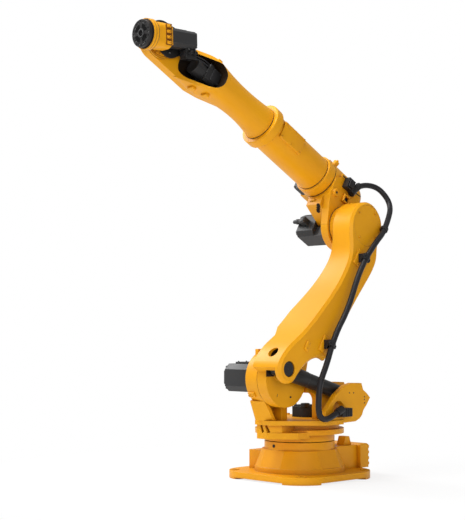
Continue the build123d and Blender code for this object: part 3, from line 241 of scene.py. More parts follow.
def slab(bm, middle, size, direction, across, soft):
    made = bmesh.ops.create_cube(bm, size=1.0)["verts"]
    bmesh.ops.scale(bm, vec=size, verts=made)
    bmesh.ops.transform(bm, matrix=facing(middle, direction, across), verts=made)
    edges = list({edge for vert in made for edge in vert.link_edges})
    bmesh.ops.bevel(
        bm,
        geom=edges,
        offset=soft,
        offset_type="OFFSET",
        affect="EDGES",
        segments=3,
        profile=0.5,
        material=-1,
    )


frontward = Vector((1.0, 0.0, 0.0))
outward = Vector((0.0, 1.0, 0.0))
upward = Vector((0.0, 0.0, 1.0))

# screws that hold the cable box and the side cover
box_back, box_level = -0.440, 0.122
side_cover_face = -0.308
bm = bmesh.new()
for side in (-0.180, 0.180):
    for level in (0.064, box_level, 0.180):
        cap_screws(bm, [(box_back, side, level)], -frontward, 0.010)
for along in (-0.120, 0.0, 0.120):
    for level in (0.073, 0.137):
        cap_screws(bm, [(along, side_cover_face, level)], -outward, 0.008)
new_piece("base_cover_screws", bm, "base", "yellow_paint", yellow_paint)

# sockets on the cable box: a round collar and a shut cap on each
bm = bmesh.new()
for side in (-0.092, 0.0, 0.092):
    turned(
        bm,
        (
            (0.004, 0.022),
            (0.015, 0.022),
            (0.017, 0.020),
            (0.017, 0.012),
            (0.026, 0.011),
            (0.026, 0.001),
            (0.004, 0.001),
        ),
        (box_back, side, box_level),
        -frontward,
        steps=28,
    )
new_piece("base_socket_caps", bm, "base", "black_plastic", black_plastic)

# square nubs up the cable box's near edge, and the plug in the neck's grease hole
nub_size = (0.014, 0.018, 0.016)
neck_hole, neck_hole_out = (0.2205, -0.0098, 0.2071), (1.0, -0.04, 0.0)
bm = bmesh.new()
for level in (0.070, 0.104, 0.140, 0.176):
    slab(bm, (box_back - 0.0035, 0.186, level), nub_size, -frontward, outward, 0.003)
new_piece("base_corner_nubs", bm, "base", "yellow_paint", yellow_paint)
bm = bmesh.new()
turned(
    bm,
    (
        (0.0015, 0.002),
        (0.0060, 0.002),
        (0.0085, 0.004),
        (0.0100, 0.003),
        (0.0100, -0.004),
        (0.0015, -0.004),
    ),
    neck_hole,
    neck_hole_out,
    steps=20,
)
new_piece("neck_grease_plug", bm, "base", "black_plastic", black_plastic)

# washers round the bolt holes in the foot's four corners
foot_hole, foot_top = 0.290, 0.046
washer_bore, washer_radius, washer_thick = 0.0135, 0.030, 0.004
bm = bmesh.new()
for side in (-foot_hole, foot_hole):
    for front in (-foot_hole, foot_hole):
        place = (front, side, foot_top)
        plain_ring(bm, washer_bore, washer_radius, 0.0, washer_thick, place, upward, 28)
new_piece("foot_washers", bm, "base", "yellow_paint", yellow_paint)


# Turret: the casting that swings on the base, with the drum of the second axis, the two plates
# that hold the counterbalance and the lifting lug, all in the same yellow paint. The motors bolted
# to it are dark grey, a powder coat on aluminium.
motor_grey = sprayed(
    "motor_grey",
    colour=(0.034, 0.034, 0.035),
    drifted=(0.028, 0.028, 0.029),
    thin=(0.10, 0.10, 0.10),
    corner_shade=(0.010, 0.010, 0.010),
    gloss=0.46,
    peel_depth=0.0005,
    shine=0.25,
)
finish_node(yellow_paint, "turret_casting", "turret_lug", "outer_bracket", "inner_bracket")
finish_node(motor_grey, "j2_motor", "j2_encoder", "j2_lid", "trunnion_pin")
finish_node(black_plastic, "j1_motor")
on_midplane = Vector((1.0, 0.0, 1.0))
joint_places = {joint["name"]: Vector(joint["pos_m"]) for joint in frame["joints"]}
joint_axes = {joint["name"]: Vector(joint["axis"]) for joint in frame["joints"]}
j2_place = joint_places["j2_lower_arm"] * on_midplane

# screws round the drum's far face, and the bolted boss low on its front
drum_circle = 0.152
bm = bmesh.new()
for turn in range(16):
    angle = 2 * pi * turn / 16
    place = j2_place + Vector((drum_circle * cos(angle), 0.030, drum_circle * sin(angle)))
    cap_screws(bm, [place], -outward, 0.010)
boss_out = Vector((0.84, 0.0, -0.543))
boss_foot = j2_place + outward * 0.062 + boss_out * 0.170
slab(bm, boss_foot + boss_out * 0.003, (0.052, 0.034, 0.016), boss_out, outward, 0.004)
for side in (-0.013, 0.013):
    cap_screws(bm, [boss_foot + boss_out * 0.011 + outward * side], boss_out, 0.009)
new_piece("drum_screws", bm, "turret", "yellow_paint", yellow_paint)

# screws in the deck behind the first motor
deck_circle, deck_top = 0.245, 0.377
bm = bmesh.new()
for turn in range(6):
    angle = radians(130 + 27.5 * turn)
    place = (deck_circle * cos(angle), deck_circle * sin(angle), deck_top)
    cap_screws(bm, [place], upward, 0.012)
new_piece("deck_screws", bm, "turret", "yellow_paint", yellow_paint)

# first motor's plug and lid, moulded in black like its cover
lid_middle, lid_size = Vector((-0.062, 0.0, 0.447)), (0.112, 0.112, 0.012)
plug_middle, plug_size = (0.002, 0.052, 0.452), (0.046, 0.040, 0.030)
lid_screw = 0.046
bm = bmesh.new()
slab(bm, lid_middle, lid_size, upward, frontward, 0.004)
slab(bm, plug_middle, plug_size, upward, frontward, 0.005)
for front in (-lid_screw, lid_screw):
    for side in (-lid_screw, lid_screw):
        cap_screws(bm, [lid_middle + Vector((front, side, 0.006))], upward, 0.008)
new_piece("j1_motor_lid", bm, "turret", "black_plastic", black_plastic)

# second motor: tie screws at its tail, the screws of its lid and a flat tail plate
tie_screw, motor_tail = 0.065, -0.240
motor_lid_top = 0.098
encoder_tail, tail_size = -0.283, (0.086, 0.086, 0.008)
bm = bmesh.new()
for front in (-tie_screw, tie_screw):
    for level in (-tie_screw, tie_screw):
        cap_screws(bm, [j2_place + Vector((front, motor_tail, level))], -outward, 0.010)
for front in (-0.034, 0.034):
    for side in (-0.040, -0.170):
        cap_screws(bm, [j2_place + Vector((front, side, motor_lid_top))], upward, 0.006)
slab(bm, j2_place + outward * encoder_tail, tail_size, -outward, frontward, 0.003)
new_piece("j2_motor_fittings", bm, "turret", "dark_grey_paint", motor_grey)

# tapped holes left open in the outer plate, their dark insides as painted shade in thin black discs,
# and two screws low in the inner one's back
tapped_holes = (
    (-0.0658, 0.5394),
    (-0.1054, 0.5380),
    (-0.2077, 0.5104),
    (-0.2075, 0.4932),
    (-0.2073, 0.4726),
)
outer_face, inner_back = 0.361, 0.177
bm = bmesh.new()
for front, level in tapped_holes:
    turned(
        bm,
        ((0.0005, 0.0006), (0.0042, 0.0006), (0.0050, 0.0002), (0.0050, -0.003), (0.0005, -0.003)),
        (front, outer_face, level),
        outward,
        steps=16,
    )
new_piece("bracket_tapped_holes", bm, "turret", "black_plastic", black_plastic)
bm = bmesh.new()
for front in (-0.190, -0.020):
    cap_screws(bm, [(front, inner_back, 0.410)], -outward, 0.012)
new_piece("bracket_screws", bm, "turret", "yellow_paint", yellow_paint)


# Counterbalance: a gas cylinder hung between the two plates, its rod pinned to the lower arm. The
# barrel, the rod and the guard tube on the rod, which slides over the barrel, are black steel.
gas_black = sprayed(
    "gas_cylinder_black",
    colour=(0.022, 0.021, 0.021),
    drifted=(0.017, 0.016, 0.016),
    thin=(0.07, 0.068, 0.065),
    corner_shade=(0.008, 0.008, 0.008),
    gloss=0.34,
    peel_depth=0.0003,
    shine=0.20,
)
finish_node(gas_black, "cylinder_barrel", "cylinder_rod", "counterbalance_pin")
pin_place = joint_places["rod_pivot"]
trunnion_place = joint_places["cylinder_swing"]
along_cylinder = (trunnion_place - pin_place).normalized()

# guard tube: closed round the rod at the pin, open at the barrel
rod_bore = 0.0215
guard_bore, guard_radius = 0.0458, 0.0478
guard_start, guard_end = 0.050, 0.235
bm = bmesh.new()
turned(
    bm,
    (
        (rod_bore, guard_start),
        (guard_radius - 0.004, guard_start),
        (guard_radius, guard_start + 0.004),
        (guard_radius, guard_end),
        (guard_bore, guard_end),
        (guard_bore, guard_start + 0.006),
        (rod_bore, guard_start + 0.006),
    ),
    pin_place,
    along_cylinder,
)
new_piece("counterbalance_guard", bm, "counterbalance_rod", "black_paint", gas_black)

# pin head: a black disc with a chamfered edge, a shallow dish and its centre mark
pin_end = 0.340
bm = bmesh.new()
turned(
    bm,
    (
        (0.0015, 0.0015),
        (0.004, 0.0035),
        (0.034, 0.0035),
        (0.036, 0.0055),
        (0.043, 0.0055),
        (0.0455, 0.003),
        (0.0455, -0.002),
        (0.0015, -0.002),
    ),
    (pin_place.x, pin_end, pin_place.z),
    outward,
)
new_piece("counterbalance_pin_head", bm, "lower_arm", "black_paint", gas_black)


def chamfered_band(bm, radii, start, end, edge, place, direction, steps):
    bore, shoulder, radius = radii
    profile = (
        (bore, start),
        (shoulder, start),
        (radius, start + edge),
        (radius, end - edge),
        (shoulder, end),
        (bore, end),
    )
    turned(bm, profile, place, direction, steps)


# bands round the barrel, one at its eye and one at its mouth
band_radii = (0.0445, 0.0462, 0.0466)
bm = bmesh.new()
for start, end in ((-0.070, -0.058), (-0.4455, -0.430)):
    chamfered_band(bm, band_radii, start, end, 0.001, trunnion_place, along_cylinder, 48)
new_piece("barrel_bands", bm, "counterbalance_barrel", "black_paint", gas_black)


# Lower arm: one long hollow casting from the second axis to the third, yellow as the rest, with a
# round cover over the elbow bearing and two black plastic clips for the hose.
finish_node(yellow_paint, "lower_arm_casting", "j3_cover")
finish_node(black_plastic, "hose_clamp_upper", "hose_clamp_lower")
j3_place = joint_places["j3_elbow"] * on_midplane
arm_upward = (j3_place - j2_place).normalized()
arm_forward = outward.cross(arm_upward)

# four screws in the elbow bearing's cover, and the cover's raised rim
bearing_cover_circle, bearing_cover_face = 0.108, 0.349
bm = bmesh.new()
for turn in range(4):
    angle = radians(45 + 90 * turn)
    step = Vector((bearing_cover_circle * cos(angle), 0.0, bearing_cover_circle * sin(angle)))
    cap_screws(bm, [j3_place + step + outward * bearing_cover_face], outward, 0.008)
turned(
    bm,
    ((0.1285, 0.3480), (0.1325, 0.3480), (0.1325, 0.3500), (0.1310, 0.3512), (0.1285, 0.3500)),
    j3_place,
    outward,
    steps=72,
)
new_piece("j3_cover_screws", bm, "lower_arm", "yellow_paint", yellow_paint)

# cast pads on the arm's side: one low down for a sensor, and one under each hose clip
arm_face = 0.352
sensor_pad, sensor_pad_size = Vector((0.304, arm_face, 0.8285)), (0.062, 0.036, 0.018)
clip_pads = (Vector((0.149, arm_face, 0.834)), Vector((-0.176, arm_face, 1.370)))
clip_pad_size = (0.104, 0.074, 0.016)
bm = bmesh.new()
slab(bm, sensor_pad, sensor_pad_size, outward, arm_upward, 0.005)
for step in (-0.018, 0.018):
    cap_screws(bm, [sensor_pad + arm_upward * step + outward * 0.009], outward, 0.006)
for pad in clip_pads:
    slab(bm, pad, clip_pad_size, outward, arm_upward, 0.005)
    for step in (-0.042, 0.042):
        cap_screws(bm, [pad + arm_upward * step + outward * 0.008], outward, 0.007)
new_piece("arm_side_pads", bm, "lower_arm", "yellow_paint", yellow_paint)

# the hub's grease nipple and its mark, low on the face
arm_hub_face = 0.208
mark_place, mark_size = (0.4133, arm_hub_face, 0.5337), (0.003, 0.020, 0.002)
nipple_place = (0.300, arm_hub_face, 0.520)
bm = bmesh.new()
slab(bm, mark_place, mark_size, outward, (1.0, 0.0, 0.35), 0.0006)
turned(
    bm,
    ((0.0015, 0.006), (0.004, 0.006), (0.006, 0.003), (0.006, -0.002), (0.0015, -0.002)),
    nipple_place,
    outward,
    steps=16,
)
new_piece("hub_marks", bm, "lower_arm", "black_plastic", black_plastic)

# painted shade inside the arm, as thin dark brown linings: the core hole in its front and the pocket
# behind the pin
hollow_shade = sprayed(
    "hollow_shade",
    colour=(0.020, 0.011, 0.005),
    drifted=(0.014, 0.008, 0.004),
    thin=(0.050, 0.026, 0.008),
    corner_shade=(0.006, 0.004, 0.002),
    gloss=0.60,
    peel_depth=0.0003,
    shine=0.15,
)
core_bore, core_radius = 0.0335, 0.0348
core_floor, core_mouth = 0.150, 0.196
pocket_floor, pocket_size = (0.478, 0.2126, 0.681), (0.066, 0.066, 0.0012)
bm = bmesh.new()
turned(
    bm,
    (
        (0.0010, core_floor),
        (0.0010, core_floor + 0.003),
        (core_bore, core_floor + 0.003),
        (core_bore, core_mouth),
        (core_radius, core_mouth),
        (core_radius, core_floor),
    ),
    j2_place + arm_upward * 0.058 + outward * 0.250,
    arm_forward,
)
slab(bm, pocket_floor, pocket_size, outward, frontward, 0.0004)
new_piece("arm_core_shade", bm, "lower_arm", "black_paint", hollow_shade)

# saddle straps of the two hose clips: a black band over the hose with a screw each side
hose_clips = (
    (Vector((0.137, 0.398, 0.838)), Vector((0.5829, 0.0, -0.8125))),
    (Vector((-0.1875, 0.398, 1.374)), Vector((0.689, 0.0, -0.7248))),
)
clip_radii, clip_half = (0.0184, 0.0215, 0.0222), 0.016
clip_foot_size = (0.016, 0.026, 0.012)
bm = bmesh.new()
for clip, lean in hose_clips:
    chamfered_band(bm, clip_radii, -clip_half, clip_half, 0.003, clip, lean, 32)
    beside = lean.cross(outward)
    for step in (-0.0265, 0.0265):
        foot = clip + beside * step
        slab(bm, foot + outward * 0.004, clip_foot_size, outward, beside, 0.003)
        cap_screws(bm, [foot + outward * 0.010], outward, 0.006)
new_piece("hose_clip_straps", bm, "lower_arm", "black_plastic", black_plastic)


# Elbow: the casting that swings on the third axis and carries the motors of the third and fourth,
# with the block where the hose comes in. The forearm turns on it as one run of ring, tube, ring
# and a long casting that opens over the motor of the fifth axis.
finish_node(yellow_paint, "elbow_housing", "elbow_lug", "j3_reducer")
finish_node(motor_grey, "j3_motor", "j3_encoder", "j3_plug", "j4_motor")
finish_node(yellow_paint, "elbow_ring", "arm_tube", "extension_ring")
finish_node(gas_black, "j5_motor", "hose_bracket", "hose_anchor")
forearm_foot = joint_places["j4_roll"]
forearm_along = joint_axes["j4_roll"]
forearm_across = forearm_along.cross(outward)
wrist_place = joint_places["j5_bend"] * on_midplane


def on_forearm(along, side, across):
    return forearm_foot + forearm_along * along + outward * side + forearm_across * across


# a thin dark ring of painted shade, standing for the gap between two turned parts
def gap_shade_ring(bm, start, width, radius, depth, place, direction):
    plain_ring(bm, radius - depth, radius, start, start + width, place, direction, 72)


# painted shade in the gaps where the forearm turns, as thin black rings: one each side of the elbow
# ring, two on the bearing
bm = bmesh.new()
for start, radius in ((0.2085, 0.1345), (0.2810, 0.1212)):
    gap_shade_ring(bm, start, 0.0036, radius, 0.010, forearm_foot, forearm_along)
new_piece("forearm_gap_shade", bm, "forearm", "black_plastic", black_plastic)
bm = bmesh.new()
for start, radius in ((0.1462, 0.1362), (0.1930, 0.1352)):
    gap_shade_ring(bm, start, 0.0032, radius, 0.008, j3_place, outward)
new_piece("elbow_bearing_gap_shade", bm, "elbow", "black_plastic", black_plastic)

# cast features on the elbow's near face: a round boss, a box boss with a square hole, a small
# sunk plate and the screws of the bearing
elbow_face = 0.146
round_boss = Vector((-0.1915, elbow_face, 1.806))
box_boss = Vector((-0.2813, elbow_face, 1.766))
sunk_plate = Vector((-0.2776, 0.1465, 1.9107))
box_walls = (
    (0.026, 0, 0.012, 0.056),
    (-0.026, 0, 0.012, 0.056),
    (0, 0.022, 0.062, 0.012),
    (0, -0.022, 0.062, 0.012),
)
bearing_circle = 0.1435
bm = bmesh.new()
turned(
    bm,
    ((0.008, 0.010), (0.020, 0.012), (0.024, 0.011), (0.030, -0.002), (0.008, -0.002)),
    round_boss,
    outward,
    steps=32,
)
for step_along, step_across, wide, tall in box_walls:
    slab(
        bm,
        box_boss + forearm_along * step_along + forearm_across * step_across + outward * 0.008,
        (wide, tall, 0.020),
        outward,
        forearm_along,
        0.003,
    )
slab(bm, sunk_plate, (0.060, 0.022, 0.006), outward, forearm_along, 0.002)
for turn in range(10):
    angle = radians(200 + 14 * turn)
    step = Vector((bearing_circle * cos(angle), elbow_face, bearing_circle * sin(angle)))
    cap_screws(bm, [j3_place + step], outward, 0.007)
new_piece("elbow_bosses", bm, "elbow", "yellow_paint", yellow_paint)
# painted shade in the square hole, the round boss's hole and the sunk plate's slot, as thin black
# pieces
bm = bmesh.new()
slab(bm, box_boss + outward * 0.001, (0.040, 0.034, 0.003), outward, forearm_along, 0.0008)
turned(
    bm,
    ((0.001, 0.0125), (0.006, 0.0125), (0.0075, 0.012), (0.0075, -0.002), (0.001, -0.002)),
    round_boss,
    outward,
    steps=20,
)
slab(bm, sunk_plate + outward * 0.0033, (0.042, 0.010, 0.001), outward, forearm_along, 0.0003)
new_piece("elbow_holes", bm, "elbow", "black_plastic", black_plastic)

# lifting lug on the elbow's near shoulder, a block with a bolt in its end, a small rib on the web,
# and the slot through the web, shown as a dark patch of painted shade
shoulder = (forearm_across * 0.88 + outward * 0.47).normalized()
lug_foot, lug_size = on_forearm(0.190, 0.0, 0.0), (0.034, 0.030, 0.040)
web_rib, web_rib_size = (-0.1130, 0.010, 1.7640), (0.050, 0.014, 0.004)
bm = bmesh.new()
slab(bm, lug_foot + shoulder * 0.146, lug_size, shoulder, forearm_along, 0.006)
cap_screws(bm, [lug_foot + shoulder * 0.166], shoulder, 0.010)
slab(bm, web_rib, web_rib_size, forearm_along, outward, 0.001)
new_piece("elbow_shoulder_lug", bm, "elbow", "yellow_paint", yellow_paint)
web_up = Vector((0.688, 0.0, 0.726))
web_out = outward.cross(web_up)
slot_place = Vector((-0.1225, 0.058, 1.7066))
slot_along = web_up * 0.82 + outward * 0.57
slot_step_size = (0.026, 0.026, 0.0016)
bm = bmesh.new()
for step in (-0.020, 0.0, 0.020):
    slab(bm, slot_place + slot_along * step, slot_step_size, web_out, outward, 0.0006)
for step in (-0.030, 0.030):
    turned(
        bm,
        ((0.0010, 0.0009), (0.0128, 0.0009), (0.0132, 0.0), (0.0132, -0.002), (0.0010, -0.002)),
        slot_place + slot_along * step,
        web_out,
        steps=24,
    )
new_piece("elbow_web_slot", bm, "elbow", "black_paint", hollow_shade)

# third motor: tie screws and a plate at its tail, and the round plug on its side with a square cap.
# Then the four screws at the end of the fourth motor.
j3_drop, j3_tie_screw = -0.250, 0.0638
j3_motor_tail, j3_encoder_tail = -0.170, -0.206
j3_tail_size = (0.090, 0.090, 0.006)
plug_place = on_forearm(0.1085, -0.107, j3_drop)
bm = bmesh.new()
for along in (-j3_tie_screw, j3_tie_screw):
    for across in (-j3_tie_screw, j3_tie_screw):
        cap_screws(bm, [on_forearm(along, j3_motor_tail, j3_drop + across)], -outward, 0.010)
tail_place = on_forearm(0.0, j3_encoder_tail, j3_drop)
slab(bm, tail_place, j3_tail_size, -outward, forearm_along, 0.0025)
turned(
    bm,
    (
        (0.004, 0.092),
        (0.011, 0.092),
        (0.013, 0.088),
        (0.013, 0.066),
        (0.018, 0.064),
        (0.018, 0.046),
        (0.015, 0.044),
        (0.015, 0.012),
        (0.004, 0.012),
    ),
    plug_place,
    -outward,
    steps=24,
)
slab(bm, plug_place + forearm_along * 0.022, (0.034, 0.034, 0.010), forearm_along, outward, 0.003)
new_piece("j3_motor_fittings", bm, "elbow", "dark_grey_paint", motor_grey)
bm = bmesh.new()
for across in (-0.033, 0.025):
    for side in (-0.207, -0.149):
        cap_screws(bm, [on_forearm(0.205, side, across)], forearm_along, 0.008)
new_piece("j4_motor_fittings", bm, "elbow", "dark_grey_paint", motor_grey)

# cover of the hose block, a moulded plate with four screws
block, block_cover_size = on_forearm(0.105, 0.195, 0.012), (0.046, 0.052, 0.010)
bm = bmesh.new()
slab(bm, block, block_cover_size, outward, forearm_along, 0.004)
for along in (-0.018, 0.018):
    for across in (-0.022, 0.022):
        place = block + forearm_along * along + forearm_across * across + outward * 0.004
        cap_screws(bm, [place], outward, 0.005)
new_piece("hose_block_cover", bm, "elbow", "black_plastic", black_plastic)


def node_maths(nodes, links, kind, first, second):
    maths = nodes.new("ShaderNodeMath")
    maths.operation = kind
    for socket, value in zip(maths.inputs, (first, second)):
        if isinstance(value, float):
            socket.default_value = value
        else:
            links.new(value, socket)
    return maths.outputs["Value"]


# painted shadow inside the forearm's mouth, up to the rim: the paint turns dark brown within a long
# hole with round ends, down to the floor of the cavity
mouth_place = on_forearm(1.387, 0.0, -0.008)
mouth_straight = (0.041, 9.0, 0.006)
mouth_radius = 0.0846
mouth_floor = -0.1116
mouth_shadow_colour = (0.018, 0.010, 0.005)
forearm_rise = radians(28.8)
pocket_group, nodes, links, out = effect_group("forearm_mouth", (("Inside", "NodeSocketFloat"),))
place = nodes.new("ShaderNodeTexCoord")
square = nodes.new("ShaderNodeMapping")
square.vector_type = "TEXTURE"
node_inputs(square, Location=mouth_place, Rotation=(0.0, -forearm_rise, 0.0))
links.new(place.outputs["Object"], square.inputs["Vector"])
mouth_steps = (
    ("ABSOLUTE", None),
    ("SUBTRACT", mouth_straight),
    ("MAXIMUM", (0.0, 0.0, 0.0)),
    ("LENGTH", None),
)
reached = square.outputs["Vector"]
for kind, value in mouth_steps:
    step = nodes.new("ShaderNodeVectorMath")
    step.operation = kind
    links.new(reached, step.inputs[0])
    if value:
        step.inputs[1].default_value = value
    reached = step.outputs["Value" if kind == "LENGTH" else "Vector"]
within = node_maths(nodes, links, "LESS_THAN", reached, mouth_radius)
parts = nodes.new("ShaderNodeSeparateXYZ")
links.new(place.outputs["Object"], parts.inputs["Vector"])
above = node_maths(nodes, links, "GREATER_THAN", parts.outputs["Y"], mouth_floor)
links.new(node_maths(nodes, links, "MULTIPLY", within, above), out.inputs["Inside"])
# the forearm's yellow paint, with that painted shadow mixed in inside the mouth
forearm_paint = yellow_paint.copy()
forearm_paint.name = "forearm_paint"
nodes, links = forearm_paint.node_tree.nodes, forearm_paint.node_tree.links
shader = nodes["Principled BSDF"]
mouth = nodes.new("ShaderNodeGroup")
mouth.node_tree = pocket_group
painted = shader.inputs["Base Color"].links[0].from_socket
links.new(
    colour_mix(nodes, links, mouth.outputs["Inside"], painted, mouth_shadow_colour),
    shader.inputs["Base Color"],
)
finish_node(forearm_paint, "forearm_casting")

# pad bolted on the tube's side, a plain plate with six screws
pad_along, pad_across, pad_face = 0.645, 0.006, 0.127
pad_size = (0.200, 0.112, 0.026)
bm = bmesh.new()
slab(bm, on_forearm(pad_along, 0.1140, pad_across), pad_size, outward, forearm_along, 0.003)
for along in (-0.088, 0.0, 0.088):
    for across in (-0.047, 0.047):
        place = on_forearm(pad_along + along, pad_face, pad_across + across)
        cap_screws(bm, [place], outward, 0.007)
new_piece("tube_side_pad", bm, "forearm", "yellow_paint", yellow_paint)

# lines of the forearm's joints: a thin black ring of painted shade at each side of the long ring.
# Then the ring's screws, the lugs under and over the mouth, and the screws on the cheek's far side.
bm = bmesh.new()
for start, radius in ((0.7700, 0.1214), (0.8345, 0.1136)):
    gap_shade_ring(bm, start, 0.0034, radius, 0.010, forearm_foot, forearm_along)
new_piece("extension_gap_shade", bm, "forearm", "black_plastic", black_plastic)
ring_circle, cheek_circle = 0.1305, 0.080
belly_lug, crown_lug = (0.030, 0.052, 0.026), (0.034, 0.028, 0.018)
cheek_back = -0.145
bm = bmesh.new()
for turn in range(12):
    angle = radians(15 + 30 * turn)
    place = on_forearm(0.772, ring_circle * cos(angle), ring_circle * sin(angle))
    cap_screws(bm, [place], -forearm_along, 0.009)
for along, side, across in ((1.3787, -0.0326, -0.125), (1.2962, 0.0057, -0.123)):
    slab(bm, on_forearm(along, side, across), belly_lug, -forearm_across, forearm_along, 0.004)
slab(bm, on_forearm(1.318, 0.030, 0.107), crown_lug, forearm_across, forearm_along, 0.004)
for turn in range(8):
    angle = radians(45 * turn)
    step = Vector((cheek_circle * cos(angle), cheek_back, cheek_circle * sin(angle)))
    cap_screws(bm, [wrist_place + step], -outward, 0.008)
new_piece("forearm_lugs_and_screws", bm, "forearm", "yellow_paint", yellow_paint)

# fifth motor in the forearm's mouth: a cap with four screws, and its plug
tail, tail_cap_size = on_forearm(1.300, 0.036, 0.0), (0.070, 0.086, 0.010)
j5_plug, j5_plug_size = on_forearm(1.352, 0.020, 0.036), (0.034, 0.030, 0.040)
bm = bmesh.new()
slab(bm, tail, tail_cap_size, outward, forearm_along, 0.004)
for along in (-0.026, 0.026):
    for across in (-0.034, 0.034):
        place = tail + forearm_along * along + forearm_across * across + outward * 0.005
        cap_screws(bm, [place], outward, 0.006)
slab(bm, j5_plug, j5_plug_size, outward, forearm_along, 0.005)
new_piece("j5_motor_fittings", bm, "forearm", "black_plastic", black_plastic)


# Wrist: the yellow housing that bends on the fifth axis, with the motor of the sixth behind it in
# dark grey and the black tool flange in front.
finish_node(yellow_paint, "wrist_housing", "j6_motor_plate")
finish_node(motor_grey, "j6_motor")
finish_node(gas_black, "tool_flange", "wrist_cover", "wrist_cable_box")
tool_along = joint_axes["j6_flange"]
tool_up = tool_along.cross(outward)


def on_tool(along, side, up):
    return wrist_place + tool_along * along + outward * side + tool_up * up


def arc_block(bm, inner, outer, low, high, start, sweep, place, direction, across, steps=18):
    others = set(bm.verts)
    corners = ((inner, low), (outer, low), (outer, high), (inner, high))
    ring = [
        bm.verts.new((radius * cos(start), radius * sin(start), along)) for radius, along in corners
    ]
    edges = [bm.edges.new(pair) for pair in zip(ring, ring[1:] + ring[:1])]
    bmesh.ops.spin(
        bm,
        geom=ring + edges,
        cent=(0, 0, 0),
        axis=(0, 0, 1),
        angle=sweep,
        steps=steps,
    )
    made = [vert for vert in bm.verts if vert not in others]
    open_edges = {edge for vert in made for edge in vert.link_edges if edge.is_boundary}
    bmesh.ops.holes_fill(bm, edges=list(open_edges))
    bmesh.ops.transform(bm, matrix=facing(place, direction, across), verts=made)


# the wrist's turned lines: painted shade in the gaps round its neck, as thin black arcs, open on the
# far side that passes the cheek
gap_shade_depth, gap_shade_width = 0.010, 0.0024
gap_shade_start, gap_shade_sweep = radians(-130), radians(260)
bm = bmesh.new()
for front, radius in ((0.1765, 0.0848), (0.1590, 0.0903), (0.1400, 0.0903)):
    arc_block(
        bm,
        radius - gap_shade_depth,
        radius,
        front,
        front + gap_shade_width,
        gap_shade_start,
        gap_shade_sweep,
        wrist_place,
        tool_along,
        outward,
        steps=64,
    )
new_piece("wrist_gap_shade", bm, "wrist", "black_plastic", black_plastic)

# column of screws on the wrist's near side, ahead of the motor plate, and the plate's own
screw_seat_size = (0.030, 0.018, 0.010)
bm = bmesh.new()
for level in (0.050, 0.018, -0.014, -0.046):
    slab(bm, on_tool(0.052, 0.068, level), screw_seat_size, outward, tool_along, 0.003)
    cap_screws(bm, [on_tool(0.050, 0.073, level)], outward, 0.010)
for side in (-0.048, 0.048):
    for level in (-0.046, 0.046):
        cap_screws(bm, [on_tool(0.015, side, level)], -tool_along, 0.008)
new_piece("wrist_screws", bm, "wrist", "yellow_paint", yellow_paint)

# the recess that those screws stand in, shown as a thin plate of painted shade, the dark cover over
# the top of the fifth axis's hub, and the lines and screws on the hub below it, the lines as painted
# shade
hub_screw_circle, cover_screw_circle = 0.087, 0.104
hub_face, cover_face, cover_back = -0.060, -0.057, -0.0666
cover_bore, cover_radius = 0.070, 0.1150
recess, recess_size = on_tool(0.050, 0.0662, 0.002), (0.046, 0.126, 0.0016)
shaded_paint = sprayed(
    "shaded_paint",
    colour=(0.200, 0.066, 0.004),
    drifted=(0.160, 0.050, 0.003),
    thin=(0.400, 0.150, 0.010),
    corner_shade=(0.060, 0.018, 0.002),
    gloss=0.55,
    peel_depth=0.0003,
    shine=0.15,
)
bm = bmesh.new()
slab(bm, recess, recess_size, outward, tool_along, 0.0006)
new_piece("wrist_screw_recess", bm, "wrist", "yellow_paint", shaded_paint)
bm = bmesh.new()
arc_block(
    bm,
    cover_bore,
    cover_radius,
    cover_back,
    cover_face,
    radians(-165),
    radians(150),
    wrist_place,
    outward,
    frontward,
)
for turn in range(5):
    angle = radians(30 + 30 * turn)
    step = Vector((cover_screw_circle * cos(angle), cover_face, cover_screw_circle * sin(angle)))
    cap_screws(bm, [wrist_place + step], outward, 0.006)
new_piece("wrist_cover_arc", bm, "wrist", "black_paint", gas_black)
bm = bmesh.new()
for radius in (0.0960, 0.1060):
    arc_block(
        bm,
        radius,
        radius + 0.0040,
        hub_face - 0.0010,
        hub_face + 0.0006,
        0.0,
        radians(180),
        wrist_place,
        outward,
        frontward,
    )
new_piece("wrist_hub_lines", bm, "wrist", "yellow_paint", shaded_paint)
bm = bmesh.new()
for turn in range(4):
    angle = radians(245 + 17 * turn)
    step = Vector((hub_screw_circle * cos(angle), hub_face, hub_screw_circle * sin(angle)))
    cap_screws(bm, [wrist_place + step], outward, 0.007)
new_piece("wrist_hub_screws", bm, "wrist", "yellow_paint", yellow_paint)

# sixth motor: a ridge on its top and the tail cap with its screws
j6_tail, j6_tail_size = on_tool(-0.182, 0.0, 0.0), (0.076, 0.076, 0.008)
j6_ridge, j6_ridge_size = on_tool(-0.060, 0.0, 0.052), (0.120, 0.060, 0.008)
j6_screw = 0.040
bm = bmesh.new()
slab(bm, j6_tail, j6_tail_size, -tool_along, outward, 0.003)
for side in (-j6_screw, j6_screw):
    for level in (-j6_screw, j6_screw):
        cap_screws(bm, [on_tool(-0.180, side, level)], -tool_along, 0.007)
slab(bm, j6_ridge, j6_ridge_size, tool_up, tool_along, 0.003)
new_piece("j6_motor_fittings", bm, "wrist", "dark_grey_paint", motor_grey)

